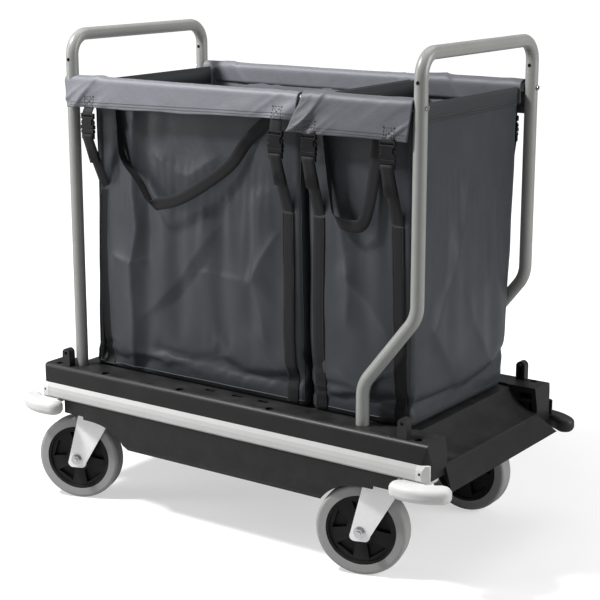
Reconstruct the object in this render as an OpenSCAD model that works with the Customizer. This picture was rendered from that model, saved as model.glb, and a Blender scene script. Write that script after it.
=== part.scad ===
// Housekeeping cart: a moulded deck on four swivel castors, two tubular handle hoops
// joined by a pair of bag rails, and two fabric bags that hang on the rails.
// X runs along the cart, Y across it and Z up. The origin is on the floor, under the middle.

/* [Deck] */
// Length over the moulded ends at the top
deck_l = 1048; // [960:2:1260]
// Width over the side skirts
deck_w = 560; // [500:2:680]
// Height of the deck above the castor plates
deck_depth = 85; // [80:1:110]
// How far the side skirts hang below the castor plates
skirt_drop = 85; // [50:1:95]
// Thickness of the moulded walls
wall = 5; // [3.5:0.5:6]
// Depth of the shallow tray that the bags stand in
tray_depth = 5; // [2:0.5:8]
// Rounding of the deck's upright corners
corner_r = 24; // [12:1:40]
// Rounding of the deck's long top edges
edge_r = 12; // [6:1:16]
// Radius of the scooped ends
scoop_r = 95; // [80:1:130]
// Half width of the scoops, between the corner blocks
scoop_half = 200; // [150:1:210]
// How far the flared end panels stand out past the deck's ends
flare_out = 39; // [20:1:60]
// Radius of the round accessory sockets in the deck's top
socket_r = 9; // [6:0.5:10]
// Depth of the accessory sockets
socket_depth = 32; // [20:1:45]

/* [Bumpers] */
// Height of the bumper rails
rail_h = 35; // [28:1:40]
// Depth of the bumper rails from back to front
rail_d = 15; // [12:0.5:20]
// Length of each moulded rail end cap
cap_l = 27; // [20:1:40]
// Outer radius of the corner pads' arc
pad_arc_r = 118; // [108:1:126]
// Thickness of the corner pads, radially
pad_t = 44; // [34:1:48]
// Height of the corner pads
pad_h = 33; // [28:1:36]

/* [Castors] */
// Wheel diameter
wheel_d = 200; // [160:2:220]
// Wheel width at the tread
tyre_w = 42; // [36:1:50]
// Thickness of the tyre
tyre_t = 23; // [12:1:28]
// Distance that the axle trails behind the swivel axis
trail = 50; // [35:1:60]
// Height of the swivel head over the wheel
head_h = 40; // [38:1:50]
// Thickness of the fork's steel
fork_t = 4; // [3:0.5:6]
// Radius of the wheel axle
axle_r = 6; // [5:0.5:8]
// Radius of the swivel's king pin
king_r = 6; // [5:0.5:8]
// Distance of the swivel axes from the deck's ends
castor_inset_x = 124; // [122:1:140]
// Distance of the swivel axes from the skirts' outer faces
castor_inset_y = 58; // [57:1:80]
// Angle of the front left castor at rest
yaw_fl = 20; // [-180:1:180]
// Angle of the front right castor at rest
yaw_fr = 17; // [-180:1:180]
// Angle of the rear left castor at rest
yaw_rl = 6; // [-180:1:180]
// Angle of the rear right castor at rest
yaw_rr = 2; // [-180:1:180]

/* [Handles] */
// Radius of the handle tube
tube_r = 14; // [12:0.5:17]
// Wall of the handle tube
tube_wall = 2; // [1.2:0.1:3]
// Height of the grip's centre line above the deck
handle_rise = 768; // [640:2:940]
// Bend radius at the top corners
top_bend = 46; // [36:1:70]
// Bend radius of the cranked legs
leg_bend = 70; // [50:1:80]
// Distance of the tubes' centres from the skirts' outer faces
post_inset = 47; // [44:1:60]
// Distance of the left posts from the deck's left end
left_post_in = 84; // [80:1:110]
// Distance of the right posts' upper part from the deck's right end
right_post_in = 52; // [40:1:70]
// How far the right posts are cranked inwards to their feet
crank = 127; // [100:1:140]
// Height of the cranks' lower corner above the deck
crank_low = 86; // [70:1:120]
// Height of the cranks
crank_h = 160; // [140:1:220]
// Length of the posts inside the deck
post_sunk = 52; // [40:1:58]
// Radius of the cross holes below the top bends
leg_hole_r = 4.25; // [3:0.25:5]
// Distance of the cross holes below the grip's centre line
leg_hole_drop = 55; // [52:1:80]

/* [Bag rails] */
// Radius of the bag rails
bag_rail_r = 10; // [8:0.5:12]
// Distance of the bag rails below the grip's centre line
bag_rail_drop = 103; // [95:1:160]

/* [Bags] */
// Length of the large bag over its rim
large_l = 608; // [500:2:660]
// Gap between the two bags
bag_gap = 5; // [3:0.5:12]
// Thickness of the bags' walls
cloth = 3; // [2.5:0.5:4]
// Height of the folded cuffs
cuff_h = 70; // [50:1:100]
// How far the cuffs' lower edges stand out
cuff_flare = 8; // [3:0.5:14]
// Half width of the bags at the bottom
bag_half_base = 198; // [150:1:205]
// How far the left bag's end wall steps in below its rim
end_step = 30; // [10:1:45]
// How far the right bag's end wall leans in at the bottom
end_lean = 16; // [5:1:30]
// Width of the strap webbing
web_w = 32; // [20:1:38]
// Thickness of the webbing
web_t = 2.5; // [2:0.1:3]

/* [Hidden] */
$fn = 64;
eps = 0.01;

// Heights, from the floor up
wheel_r = wheel_d / 2;
seat_z = wheel_d + head_h;
deck_top = seat_z + deck_depth;
tray_z = deck_top - tray_depth;
skirt_z = seat_z - skirt_drop;
rail_z0 = seat_z + 7;
rail_z1 = rail_z0 + rail_h;
side_z = wheel_d + 15;
floor_z = rail_z0 - 1;
grip_z = deck_top + handle_rise;
bag_rail_z = grip_z - bag_rail_drop;

// Places in plan
half_l = deck_l / 2;
half_w = deck_w / 2;
castor_x = half_l - castor_inset_x;
castor_y = half_w - castor_inset_y;
post_y = half_w - post_inset;
left_post_x = -half_l + left_post_in;
right_post_x = half_l - right_post_in;
right_foot_x = right_post_x - crank;

// Deck details
end_slope = 6;
rail_seat = 10;
side_lean = 5;
crease_z = seat_z + 30;
flare_z = seat_z - 17;
flare_spread = 38;
notch_in = 66;
arch_gap = 8;
rib_t = 3;
rib_z = seat_z + 22;
seat_t = 6;
seat_l = 124;
seat_in = 50;
plate = [104, 84, 5];
plate_r = 8;
plate_pitch = [80, 60];
plate_hole_r = 4.5;
boss_wall = 6;
socket_wall = 3;
post_fit = 0.3;
socket_y = half_w - 22;
corner_socket_x = half_l - 32;
side_socket_x = 124;
lug = [22, 19, 42];
lug_slot = [8, 11];
lug_hole_r = 4;
lug_x = half_l - 63;
lug_y = half_w - 23;
clip_slot = [26, 12, 9];
clip_slot_x = [-64, 12, 83];
clip_slot_y = half_w - 55;

// Corner pads
pad_x = half_l - 24;
pad_y = half_w - 75;
pad_from = 50;
pad_to = 104;
pad_r = 13;
pad_tongue = [50, 72, 9];
pad_tongue_y = half_w - 54;
pad_screw_y = half_w - 42;
pad_screw_x = 13;
pad_screw_r = 2.5;
pad_top = floor_z;

// Bumper rail section, outward from its back face
rail_skin = 2.5;
cap_screw_r = 3;
cap_screw_in = 9;

// Castor details
hub_fit = 0.1;
run_fit = 0.06;
side_play = 0.3;
fork_half = tyre_w / 2 + 5;
crown_r = 46;
crown_z = wheel_d + 8;
race_z = seat_z - plate[2] - 6;
race_r = 30;
hub_r = wheel_r - tyre_t;
hub_w = tyre_w - 4;
boss_r = 20;
bush_t = 4;
window_depth = 10;
window_r = [32, 61];
window_count = 5;
shoulder_r = 8;
nut_r = 10.5;
nut_h = 9;
washer_r = 13;
washer_t = 2;
ball_r = 3.5;
ball_count = 14;
ball_ring_r = 22;

// Handles and rails
post_foot_z = deck_top - post_sunk;
plug_h = 24;
post_screw_r = 4;
post_head_r = 7;
rail_screw_r = 2.5;
rail_screw_clear = 0.3;
rail_fit = 0.2;
rail_plug_l = 26;
rail_wall = 1.5;

// Bags
cloth_gap = 0.5;
bag_floor_z = tray_z + cloth_gap;
bag_in_y = post_y - bag_rail_r - cloth_gap;
bag_out_y = post_y + bag_rail_r + cloth_gap;
over_z = bag_rail_z + bag_rail_r + cloth_gap;
rim_z = over_z + cloth;
cuff_z = rim_z - cuff_h;
post_gap = 1.5;
rim_x0 = left_post_x + tube_r + post_gap;
rim_x3 = right_post_x - tube_r - post_gap;
rim_x1 = rim_x0 + large_l;
rim_x2 = rim_x1 + bag_gap;
step_z = rim_z - 78;
strap_free_z = cuff_z - 150;
buckle = [36, 9, 34];
buckle_z = cuff_z - 10;
buckle_y = bag_out_y + cloth + 1;
clip_h = 24;
tab_h = 46;
handle_drop = 5;
carry_w = 25;
band_lap = 0.3;

SWIVELS = [["fl", -1, -1, yaw_fl], ["fr", 1, -1, yaw_fr], ["rl", -1, 1, yaw_rl], ["rr", 1, 1, yaw_rr]];
SIDES = [-1, 1];

// ---- helpers ----

// Flat rectangle with round corners, centred
module rounded_rect(l, w, r) {
    square([l - 2 * r, w], center = true);
    square([l, w - 2 * r], center = true);
    for (x = SIDES, y = SIDES)
        translate([x * (l / 2 - r), y * (w / 2 - r)])
            circle(r);
}

// Outline in Y and Z, stretched along X from x0 to x1
module along_x(x0, x1) {
    translate([x0, 0, 0])
        rotate([90, 0, 90])
            linear_extrude(x1 - x0)
                children();
}

// Outline in X and Z, stretched along Y from y0 to y1
module along_y(y0, y1) {
    translate([0, y1, 0])
        rotate([90, 0, 0])
            linear_extrude(y1 - y0)
                children();
}

// One copy at each corner of the deck
module four_corners() {
    for (x = [0, 1], y = [0, 1])
        mirror([x, 0, 0])
            mirror([0, y, 0])
                children();
}

// One copy at each end of the deck
module both_ends() {
    for (x = [0, 1])
        mirror([x, 0, 0])
            children();
}

// One copy at the front and one at the rear
module both_sides() {
    for (y = [0, 1])
        mirror([0, y, 0])
            children();
}

module place_castor(s) {
    translate([s[1] * castor_x, s[2] * castor_y, 0])
        rotate([0, 0, s[3]])
            children();
}

// The castor's wheel axis as the local Z, at the axle's middle
module at_axle() {
    translate([-trail, 0, wheel_r])
        rotate([90, 0, 0])
            children();
}

module ring(r_out, r_in, h) {
    difference() {
        cylinder(r = r_out, h = h);
        translate([0, 0, -1])
            cylinder(r = r_in, h = h + 2);
    }
}

module hexagon(across, h) {
    cylinder(r = across / 2 / cos(30), h = h, $fn = 6);
}

function unit(v) = v / norm(v);
function bend_cut(a, b, c, r) = r * tan(acos(unit(b - a) * unit(c - b)) / 2);

// Hollow tube along points p, with bend radius r[i] at the corner p[i + 1]
module bent_tube(p, r, r_out, r_in) {
    last = len(p) - 1;
    for (i = [0:last - 1]) {
        d = unit(p[i + 1] - p[i]);
        cut0 = i == 0 ? 0 : bend_cut(p[i - 1], p[i], p[i + 1], r[i - 1]);
        cut1 = i == last - 1 ? 0 : bend_cut(p[i], p[i + 1], p[i + 2], r[i]);
        side = abs(d[1]) > 0.9 ? [1, 0, 0] : [0, 1, 0];
        u = unit(cross(side, d));
        v = cross(d, u);
        s = p[i] + d * cut0;
        multmatrix([[u[0], v[0], d[0], s[0]], [u[1], v[1], d[1], s[1]], [u[2], v[2], d[2], s[2]]])
            linear_extrude(norm(p[i + 1] - p[i]) - cut0 - cut1)
                tube_section(r_out, r_in);
    }
    for (i = [1:last - 1]) {
        d0 = unit(p[i] - p[i - 1]);
        d1 = unit(p[i + 1] - p[i]);
        n = unit(d1 - d0 * (d0 * d1));
        b = r[i - 1];
        c = p[i] - d0 * bend_cut(p[i - 1], p[i], p[i + 1], b) + n * b;
        w = cross(-n, d0);
        multmatrix([[-n[0], d0[0], w[0], c[0]], [-n[1], d0[1], w[1], c[1]], [-n[2], d0[2], w[2], c[2]]])
            rotate_extrude(angle = acos(d0 * d1))
                translate([b, 0])
                    tube_section(r_out, r_in);
    }
}

module tube_section(r_out, r_in) {
    difference() {
        circle(r_out);
        circle(r_in);
    }
}

// ---- deck ----

// Across the deck, outer shape: skirt, rail seat, leaning side and rounded top edge
module side_profile() {
    top_y = half_w - side_lean - 1;
    half = [
        [0, skirt_z], [half_w - 6, skirt_z], [half_w, skirt_z + 12], [half_w, rail_z0],
        [half_w - rail_seat, rail_z0], [half_w - rail_seat, rail_z1], [half_w - 1, rail_z1],
        [top_y, deck_top - edge_r], [top_y - edge_r, deck_top - edge_r], [top_y - edge_r, deck_top],
        [0, deck_top]
    ];
    for (y = [0, 1])
        mirror([y, 0]) {
            polygon(half);
            translate([top_y - edge_r, deck_top - edge_r])
                circle(edge_r);
        }
}

// Across the deck, inner hollow, open below
module hollow_profile() {
    half = [
        [0, 0], [half_w - wall, 0], [half_w - wall, rail_z0 - wall],
        [half_w - rail_seat - wall, rail_z0 - wall], [half_w - rail_seat - wall, tray_z - wall], [0, tray_z - wall]
    ];
    for (y = [0, 1])
        mirror([y, 0])
            polygon(half);
}

// Along the deck: the ends lean out a little towards the rails
module end_profile() {
    foot = half_l + end_slope;
    polygon([[-half_l, deck_top], [half_l, deck_top], [foot, rail_z1], [foot, 0], [-foot, 0], [-foot, rail_z1]]);
}

module deck_block() {
    intersection() {
        along_x(-half_l - end_slope, half_l + end_slope)
            side_profile();
        along_y(-half_w, half_w)
            end_profile();
        translate([0, 0, skirt_z - 1])
            linear_extrude(deck_top - skirt_z + 2)
                rounded_rect(deck_l + 2 * end_slope, deck_w, corner_r);
    }
}

// The concave sweep that each end falls away in, from the tray's edge to the crease
scoop_top = half_l - 68;
scoop_mid = [(scoop_top + half_l) / 2, (deck_top + crease_z) / 2];
scoop_half_chord = norm([half_l - scoop_top, deck_top - crease_z]) / 2;
scoop_dir = unit([deck_top - crease_z, half_l - scoop_top]);
scoop_c = scoop_mid + scoop_dir * sqrt(pow(scoop_r, 2) - pow(scoop_half_chord, 2));

module scoop(grow) {
    both_ends()
        along_y(-scoop_half - grow, scoop_half + grow)
            translate(scoop_c)
                circle(scoop_r + grow, $fn = 96);
}

// Flared panel below the crease, wider at its lower edge
module flare_panels() {
    both_ends()
        intersection() {
            along_y(-scoop_half - flare_spread, scoop_half + flare_spread)
                polygon([
                    [half_l, crease_z], [half_l + flare_out, flare_z], [half_l + flare_out - wall - 1, flare_z],
                    [half_l + 2, crease_z - 5 - wall], [half_l + 2, seat_z + 12], [half_l - wall, seat_z + 12],
                    [half_l - wall, crease_z]
                ]);
            along_x(half_l - wall - 1, half_l + flare_out + 1)
                polygon([
                    [-scoop_half, crease_z + 1], [scoop_half, crease_z + 1],
                    [scoop_half + flare_spread, flare_z - 1], [-scoop_half - flare_spread, flare_z - 1]
                ]);
        }
}

// Room that a castor needs for a full turn, with a running gap
module swivel_room() {
    room_r = wheel_r + arch_gap;
    four_corners()
        translate([castor_x, castor_y, 0])
            rotate_extrude($fn = 96)
                intersection() {
                    union() {
                        translate([trail, wheel_r])
                            circle(room_r, $fn = 96);
                        square([trail, wheel_r + room_r]);
                    }
                    square([trail + room_r + 1, wheel_r + room_r + 1]);
                }
}

module deck_ribs() {
    rib_h = tray_z - wall - rib_z + 1;
    for (x = [-3:3])
        translate([x * half_l / 4 - rib_t / 2, -half_w + rail_seat + 1, rib_z])
            cube([rib_t, deck_w - 2 * rail_seat - 2, rib_h]);
    for (y = [-1.5:1.5])
        translate([-scoop_top, y * half_w / 3 - rib_t / 2, rib_z])
            cube([2 * scoop_top, rib_t, rib_h]);
}

// Boxed seat over each castor plate
module castor_seats() {
    box_h = tray_z - wall - seat_z + 1;
    y0 = castor_y - seat_in;
    y1 = half_w - rail_seat - 2;
    four_corners()
        translate([castor_x - seat_l / 2, y0, seat_z])
            difference() {
                cube([seat_l, y1 - y0, box_h]);
                translate([wall, wall, seat_t])
                    cube([seat_l - 2 * wall, y1 - y0 - 2 * wall, box_h]);
            }
}

module castor_seat_holes() {
    four_corners()
        translate([castor_x, castor_y, seat_z - 1]) {
            cylinder(r = king_r + 8, h = seat_t + 2);
            for (x = SIDES, y = SIDES)
                translate([x * plate_pitch[0] / 2, y * plate_pitch[1] / 2, 0])
                    cylinder(r = plate_hole_r, h = seat_t + 2);
        }
}

// The feet of the four posts
function post_feet() = [for (x = [left_post_x, right_foot_x], y = SIDES) [x, y * post_y]];

module post_bosses() {
    for (p = post_feet())
        translate([p[0], p[1], post_foot_z - boss_wall])
            cylinder(r = tube_r + boss_wall, h = post_sunk + boss_wall - tray_depth);
}

module post_bores() {
    for (p = post_feet())
        translate([p[0], p[1], 0]) {
            translate([0, 0, post_foot_z])
                cylinder(r = tube_r + post_fit, h = post_sunk + 1);
            translate([0, 0, post_foot_z - boss_wall - 1])
                cylinder(r = post_screw_r + post_fit, h = boss_wall + 2);
            translate([0, 0, seat_z - 1])
                cylinder(r = post_head_r + 1, h = post_foot_z - boss_wall - seat_z + 1);
        }
}

// Round sockets for accessories, along both sides
function socket_places() = [
    for (y = SIDES)
        each [
            [-corner_socket_x, y * (socket_y - 4)], [corner_socket_x, y * (socket_y - 4)],
            [-right_foot_x, y * socket_y], [-side_socket_x, y * socket_y], [side_socket_x, y * socket_y]
        ]
];

module socket_bosses() {
    for (p = socket_places())
        translate([p[0], p[1], deck_top - socket_depth - socket_wall])
            cylinder(r = socket_r + socket_wall, h = socket_depth);
}

module socket_bores() {
    for (p = socket_places())
        translate([p[0], p[1], deck_top - socket_depth])
            cylinder(r = socket_r, h = socket_depth + 1);
}

// Floor plate inside each corner, which the pads are screwed to
module corner_floors() {
    four_corners()
        translate([half_l - notch_in, scoop_half, floor_z])
            cube([notch_in, half_w - rail_seat - scoop_half, wall]);
}

// Open pockets in the corner blocks' faces that look into the scoop
module corner_pockets() {
    four_corners() {
        translate([half_l - 42, scoop_half - 1, deck_top - 27])
            cube([34, 30, 14]);
        translate([half_l - 44, scoop_half - 1, deck_top - 62])
            cube([24, 30, 28]);
        translate([half_l - 16, scoop_half - 1, deck_top - 62])
            cube([9, 30, 28]);
    }
}

// Solid stock that the corner pockets are sunk into
module pocket_blocks() {
    four_corners()
        translate([half_l - 48, scoop_half, floor_z])
            cube([44, 33, deck_top - floor_z - 8]);
}

module deck() {
    color([0.16, 0.16, 0.165])
        difference() {
            union() {
                difference() {
                    deck_block();
                    difference() {
                        along_x(-half_l + wall, half_l - wall)
                            hollow_profile();
                        scoop(wall);
                    }
                    both_ends()
                        translate([half_l - notch_in, -half_w - 1, 0])
                            cube([notch_in + 20, deck_w + 2, floor_z]);
                }
                castor_seats();
                deck_ribs();
                post_bosses();
                socket_bosses();
                corner_floors();
                pocket_blocks();
            }
            scoop(0);
            both_ends()
                translate([castor_x, -half_w - 1, 0])
                    cube([half_l, deck_w + 2, side_z]);
            swivel_room();
            translate([0, 0, tray_z])
                linear_extrude(tray_depth + 1)
                    translate([(rim_x0 + end_step + rim_x3 - end_lean) / 2, 0])
                        rounded_rect(rim_x3 - rim_x0 - end_step + 24, 2 * bag_half_base + 12, 16);
            castor_seat_holes();
            post_bores();
            socket_bores();
            corner_pockets();
            pad_screw_holes(floor_z - 1, wall + 2);
            both_sides()
                for (x = clip_slot_x)
                    translate([x - clip_slot[0] / 2, clip_slot_y - clip_slot[1] / 2, deck_top - clip_slot[2]])
                        cube([clip_slot[0], clip_slot[1], clip_slot[2] + 1]);
        }
    color([0.16, 0.16, 0.165])
        flare_panels();
}

// Upright round-topped lugs with a cross hole, open towards the middle of the cart
module side_lugs() {
    top_r = lug[0] / 2;
    color([0.1, 0.1, 0.1])
        four_corners()
            translate([lug_x, lug_y, deck_top])
                difference() {
                    along_y(-lug[1] / 2, lug[1] / 2) {
                        translate([-lug[0] / 2, 0])
                            square([lug[0], lug[2] - top_r]);
                        translate([0, lug[2] - top_r])
                            circle(top_r);
                    }
                    translate([-lug_slot[0] / 2, -lug[1] / 2 - 1, 3])
                        cube([lug_slot[0], lug_slot[1] + 1, lug[2] - 9]);
                    translate([0, lug[1] / 2 + 1, lug[2] - top_r])
                        rotate([90, 0, 0])
                            cylinder(r = lug_hole_r, h = lug[1] + 2);
                }
}

// ---- bumpers ----

// Rail section in Y and Z: a shallow bulge with a crease above its middle.
// Its face stands out by grow.
module rail_outline(grow) {
    y0 = half_w - rail_seat;
    y1 = y0 + rail_d + grow;
    polygon([
        [y0, rail_z0], [y1 - 4, rail_z0], [y1 - 0.5, rail_z0 + 4], [y1, rail_z0 + rail_h * 0.45],
        [y1 - 1.5, rail_z0 + rail_h * 0.72], [y1 - 6, rail_z1], [y0, rail_z1]
    ]);
}

module bumper_rail() {
    y0 = half_w - rail_seat;
    end_x = half_l + 8 - cap_l;
    along_x(-end_x, end_x)
        difference() {
            rail_outline(0);
            translate([y0 + rail_skin, rail_z0 + rail_skin])
                square([rail_d - 2 * rail_skin - 2.5, rail_h - 2 * rail_skin - 3]);
        }
}

module bumper_rail_front() {
    color([0.83, 0.83, 0.82])
        mirror([0, 1, 0])
            bumper_rail();
}

module bumper_rail_rear() {
    color([0.12, 0.12, 0.12])
        bumper_rail();
}

// End caps with a bevelled outer end and a recessed screw
module rail_caps() {
    x0 = half_l + 8 - cap_l;
    x1 = half_l + 8;
    y0 = half_w - rail_seat;
    both_ends()
        difference() {
            intersection() {
                along_x(x0, x1)
                    rail_outline(0.4);
                linear_extrude(rail_z1 + 5)
                    polygon([
                        [x0, y0], [x1, y0], [x1, y0 + 4], [x1 - 15, y0 + rail_d + 1], [x0, y0 + rail_d + 1]
                    ]);
            }
            cap_screw_bore(x0, cap_screw_r + 0.2);
        }
}

module cap_screw_bore(x0, r) {
    translate([x0 + cap_screw_in, half_w - rail_seat - 1, (rail_z0 + rail_z1) / 2])
        rotate([-90, 0, 0])
            cylinder(r = r, h = rail_d + 4);
}

module rail_caps_front() {
    color([0.83, 0.83, 0.82])
        mirror([0, 1, 0])
            rail_caps();
}

module rail_caps_rear() {
    color([0.12, 0.12, 0.12])
        rail_caps();
}

module cap_screws() {
    x0 = half_l + 8 - cap_l;
    color([0.08, 0.08, 0.08])
        four_corners()
            translate([x0 + cap_screw_in, half_w - rail_seat, (rail_z0 + rail_z1) / 2])
                rotate([-90, 0, 0])
                    cylinder(r = cap_screw_r, h = rail_d - 3);
}

// Half of the pads' rounded section, for the ends, and the whole one
module pad_half_section() {
    intersection() {
        rounded_rect(pad_t, pad_h, pad_r);
        translate([0, -pad_h / 2])
            square([pad_t, pad_h]);
    }
}

module corner_pads() {
    mid_r = pad_arc_r - pad_t / 2;
    mid_z = pad_top - pad_h / 2;
    both_ends()
        difference() {
            union() {
                translate([pad_x, pad_y, mid_z]) {
                    rotate([0, 0, pad_from])
                        rotate_extrude(angle = pad_to - pad_from, $fn = 96)
                            translate([mid_r, 0])
                                rounded_rect(pad_t, pad_h, pad_r);
                    rotate([0, 0, pad_from])
                        translate([mid_r, 0, 0])
                            rotate([0, 0, 180])
                                rotate_extrude(angle = 180)
                                    pad_half_section();
                    rotate([0, 0, pad_to])
                        translate([mid_r, 0, 0])
                            rotate_extrude(angle = 180)
                                pad_half_section();
                }
                translate([pad_x - pad_tongue[0] / 2, pad_tongue_y, pad_top - pad_tongue[2]])
                    cube(pad_tongue);
            }
            pad_screw_holes(pad_top - pad_tongue[2] - 1, pad_tongue[2] + 2);
        }
}

module pad_screw_holes(z, h) {
    both_sides()
        both_ends()
            for (x = SIDES)
                translate([pad_x + x * pad_screw_x, pad_screw_y, z])
                    cylinder(r = pad_screw_r + 0.3, h = h);
}

module corner_pads_front() {
    color([0.8, 0.8, 0.79])
        mirror([0, 1, 0])
            corner_pads();
}

module corner_pads_rear() {
    color([0.12, 0.12, 0.12])
        corner_pads();
}

module pad_screws() {
    color("silver")
        four_corners()
            for (x = SIDES)
                translate([pad_x + x * pad_screw_x, pad_screw_y, pad_top - pad_tongue[2] - 3]) {
                    cylinder(r = pad_screw_r * 2, h = 3);
                    cylinder(r = pad_screw_r, h = pad_tongue[2] + wall + 6);
                }
}

// ---- handles and bag rails ----

module leg_cross_holes(x) {
    for (y = SIDES)
        translate([x, y * post_y, 0]) {
            translate([0, tube_r + 1, grip_z - leg_hole_drop])
                rotate([90, 0, 0])
                    cylinder(r = leg_hole_r, h = 2 * tube_r + 2);
            translate([-tube_r - 1, 0, bag_rail_z])
                rotate([0, 90, 0])
                    cylinder(r = rail_screw_r + rail_screw_clear, h = 2 * tube_r + 2);
        }
}

module handle_left() {
    x = left_post_x;
    color([0.64, 0.64, 0.62])
        difference() {
            bent_tube(
                [[x, -post_y, post_foot_z], [x, -post_y, grip_z], [x, post_y, grip_z], [x, post_y, post_foot_z]],
                [top_bend, top_bend], tube_r, tube_r - tube_wall);
            leg_cross_holes(x);
        }
}

module handle_right() {
    x = right_post_x;
    f = right_foot_x;
    z0 = deck_top + crank_low;
    z1 = z0 + crank_h;
    color([0.64, 0.64, 0.62])
        difference() {
            bent_tube(
                [
                    [f, -post_y, post_foot_z], [f, -post_y, z0], [x, -post_y, z1], [x, -post_y, grip_z],
                    [x, post_y, grip_z], [x, post_y, z1], [f, post_y, z0], [f, post_y, post_foot_z]
                ],
                [leg_bend, leg_bend, top_bend, top_bend, leg_bend, leg_bend], tube_r, tube_r - tube_wall);
            leg_cross_holes(x);
        }
}

// Threaded plugs in the posts' feet, and the bolts that pull the posts into the deck
module post_plugs() {
    color("silver")
        for (p = post_feet())
            translate([p[0], p[1], post_foot_z])
                ring(tube_r - tube_wall - hub_fit, post_screw_r + run_fit, plug_h);
}

module post_bolts() {
    color("silver")
        for (p = post_feet())
            translate([p[0], p[1], post_foot_z - boss_wall]) {
                translate([0, 0, -5])
                    cylinder(r = post_head_r, h = 5);
                cylinder(r = post_screw_r, h = boss_wall + plug_h);
            }
}

module bag_rail() {
    x0 = left_post_x + tube_r + rail_fit;
    x1 = right_post_x - tube_r - rail_fit;
    translate([0, post_y, bag_rail_z])
        along_x(x0, x1)
            tube_section(bag_rail_r, bag_rail_r - rail_wall);
}

module bag_rail_front() {
    color([0.64, 0.64, 0.62])
        mirror([0, 1, 0])
            bag_rail();
}

module bag_rail_rear() {
    color([0.64, 0.64, 0.62])
        bag_rail();
}

module bag_rail_plugs() {
    x0 = left_post_x + tube_r + rail_fit;
    x1 = right_post_x - tube_r - rail_fit;
    color([0.2, 0.2, 0.2])
        both_sides()
            for (x = [x0, x1 - rail_plug_l])
                translate([x, post_y, bag_rail_z])
                    rotate([0, 90, 0])
                        ring(bag_rail_r - rail_wall - hub_fit, rail_screw_r + run_fit, rail_plug_l);
}

// A screw through each post into the rail's plug, with its head on the outer side
module bag_rail_screws() {
    shank = 2 * tube_r + 20;
    color("silver")
        both_sides()
            for (e = [[left_post_x, 0], [right_post_x, 1]])
                translate([e[0], post_y, bag_rail_z])
                    mirror([e[1], 0, 0])
                        rotate([0, 90, 0]) {
                            translate([0, 0, -tube_r])
                                cylinder(r = rail_screw_r, h = shank);
                            translate([0, 0, -tube_r - 3])
                                cylinder(r = rail_screw_r * 2, h = 3);
                        }
}

// ---- castors ----

module plate_holes(r, z, h) {
    for (x = SIDES, y = SIDES)
        translate([x * plate_pitch[0] / 2, y * plate_pitch[1] / 2, z])
            cylinder(r = r, h = h);
}

// Plates with the upper ball race pressed into them
module castor_plates() {
    plate_z = seat_z - plate[2];
    color([0.85, 0.85, 0.86])
        four_corners()
            translate([castor_x, castor_y, 0])
                difference() {
                    union() {
                        translate([0, 0, plate_z])
                            linear_extrude(plate[2])
                                rounded_rect(plate[0], plate[1], plate_r);
                        translate([0, 0, race_z])
                            cylinder(r = race_r + 3, h = plate_z - race_z);
                    }
                    translate([0, 0, race_z - 1])
                        cylinder(r = king_r, h = seat_z - race_z + 2);
                    plate_holes(plate_hole_r, plate_z - 1, plate[2] + 2);
                    translate([0, 0, race_z])
                        ball_groove();
                }
}

module ball_groove() {
    rotate_extrude()
        translate([ball_ring_r, 0])
            circle(ball_r + run_fit, $fn = 32);
}

module castor_bolts() {
    color("silver")
        four_corners()
            translate([castor_x, castor_y, 0])
                for (x = SIDES, y = SIDES)
                    translate([x * plate_pitch[0] / 2, y * plate_pitch[1] / 2, seat_z]) {
                        translate([0, 0, -plate[2] - 5])
                            hexagon(13, 5);
                        translate([0, 0, -plate[2]])
                            cylinder(r = plate_hole_r - 0.5, h = plate[2] + seat_t + 9);
                        translate([0, 0, seat_t])
                            hexagon(13, 6.5);
                    }
}

// Rivetted pins on which the forks turn
module king_pins() {
    color("silver")
        four_corners()
            translate([castor_x, castor_y, 0]) {
                translate([0, 0, crown_z - side_play - 4])
                    cylinder(r = king_r + 5, h = 4);
                translate([0, 0, crown_z - side_play])
                    cylinder(r = king_r, h = seat_z - crown_z + side_play);
                translate([0, 0, seat_z])
                    cylinder(r = king_r + 4, h = 3.5);
            }
}

// One leg of the fork in X and Z, narrow and round at the axle, wide at the crown
module leg_outline() {
    foot_r = 11;
    foot_half = 11;
    low = wheel_r - 10;
    for (x = SIDES)
        translate([-trail + x * foot_half, low])
            circle(foot_r);
    translate([-trail - foot_half, low - foot_r])
        square([2 * foot_half, foot_r]);
    polygon([
        [-trail - foot_half - foot_r, low], [-crown_r + 4, crown_z + fork_t],
        [crown_r - 4, crown_z + fork_t], [-trail + foot_half + foot_r, low]
    ]);
}

module fork(s) {
    head_z = race_z - side_play;
    color([0.88, 0.88, 0.89])
        place_castor(s)
            difference() {
                union() {
                    for (y = SIDES)
                        translate([0, y * (fork_half + fork_t / 2), 0])
                            along_y(-fork_t / 2, fork_t / 2)
                                leg_outline();
                    translate([0, 0, crown_z])
                        linear_extrude(fork_t)
                            intersection() {
                                circle(crown_r + 4);
                                square([2 * crown_r - 8, 2 * fork_half + 2 * fork_t], center = true);
                            }
                    translate([0, 0, crown_z + fork_t - eps])
                        cylinder(r = race_r, h = head_z - crown_z - fork_t + eps);
                }
                translate([0, 0, crown_z - 1])
                    cylinder(r = king_r + run_fit, h = head_z - crown_z + 2);
                translate([0, 0, head_z])
                    ball_groove();
                at_axle()
                    translate([0, 0, -fork_half - fork_t - 1])
                        cylinder(r = axle_r + 0.1, h = 2 * (fork_half + fork_t) + 2);
            }
}

// Balls between the plate's race and the fork's
module swivel_balls(s) {
    color("silver")
        place_castor(s)
            for (i = [0:ball_count - 1])
                rotate([0, 0, i * 360 / ball_count])
                    translate([ball_ring_r, 0, race_z - side_play / 2])
                        sphere(r = ball_r - run_fit, $fn = 24);
}

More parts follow.
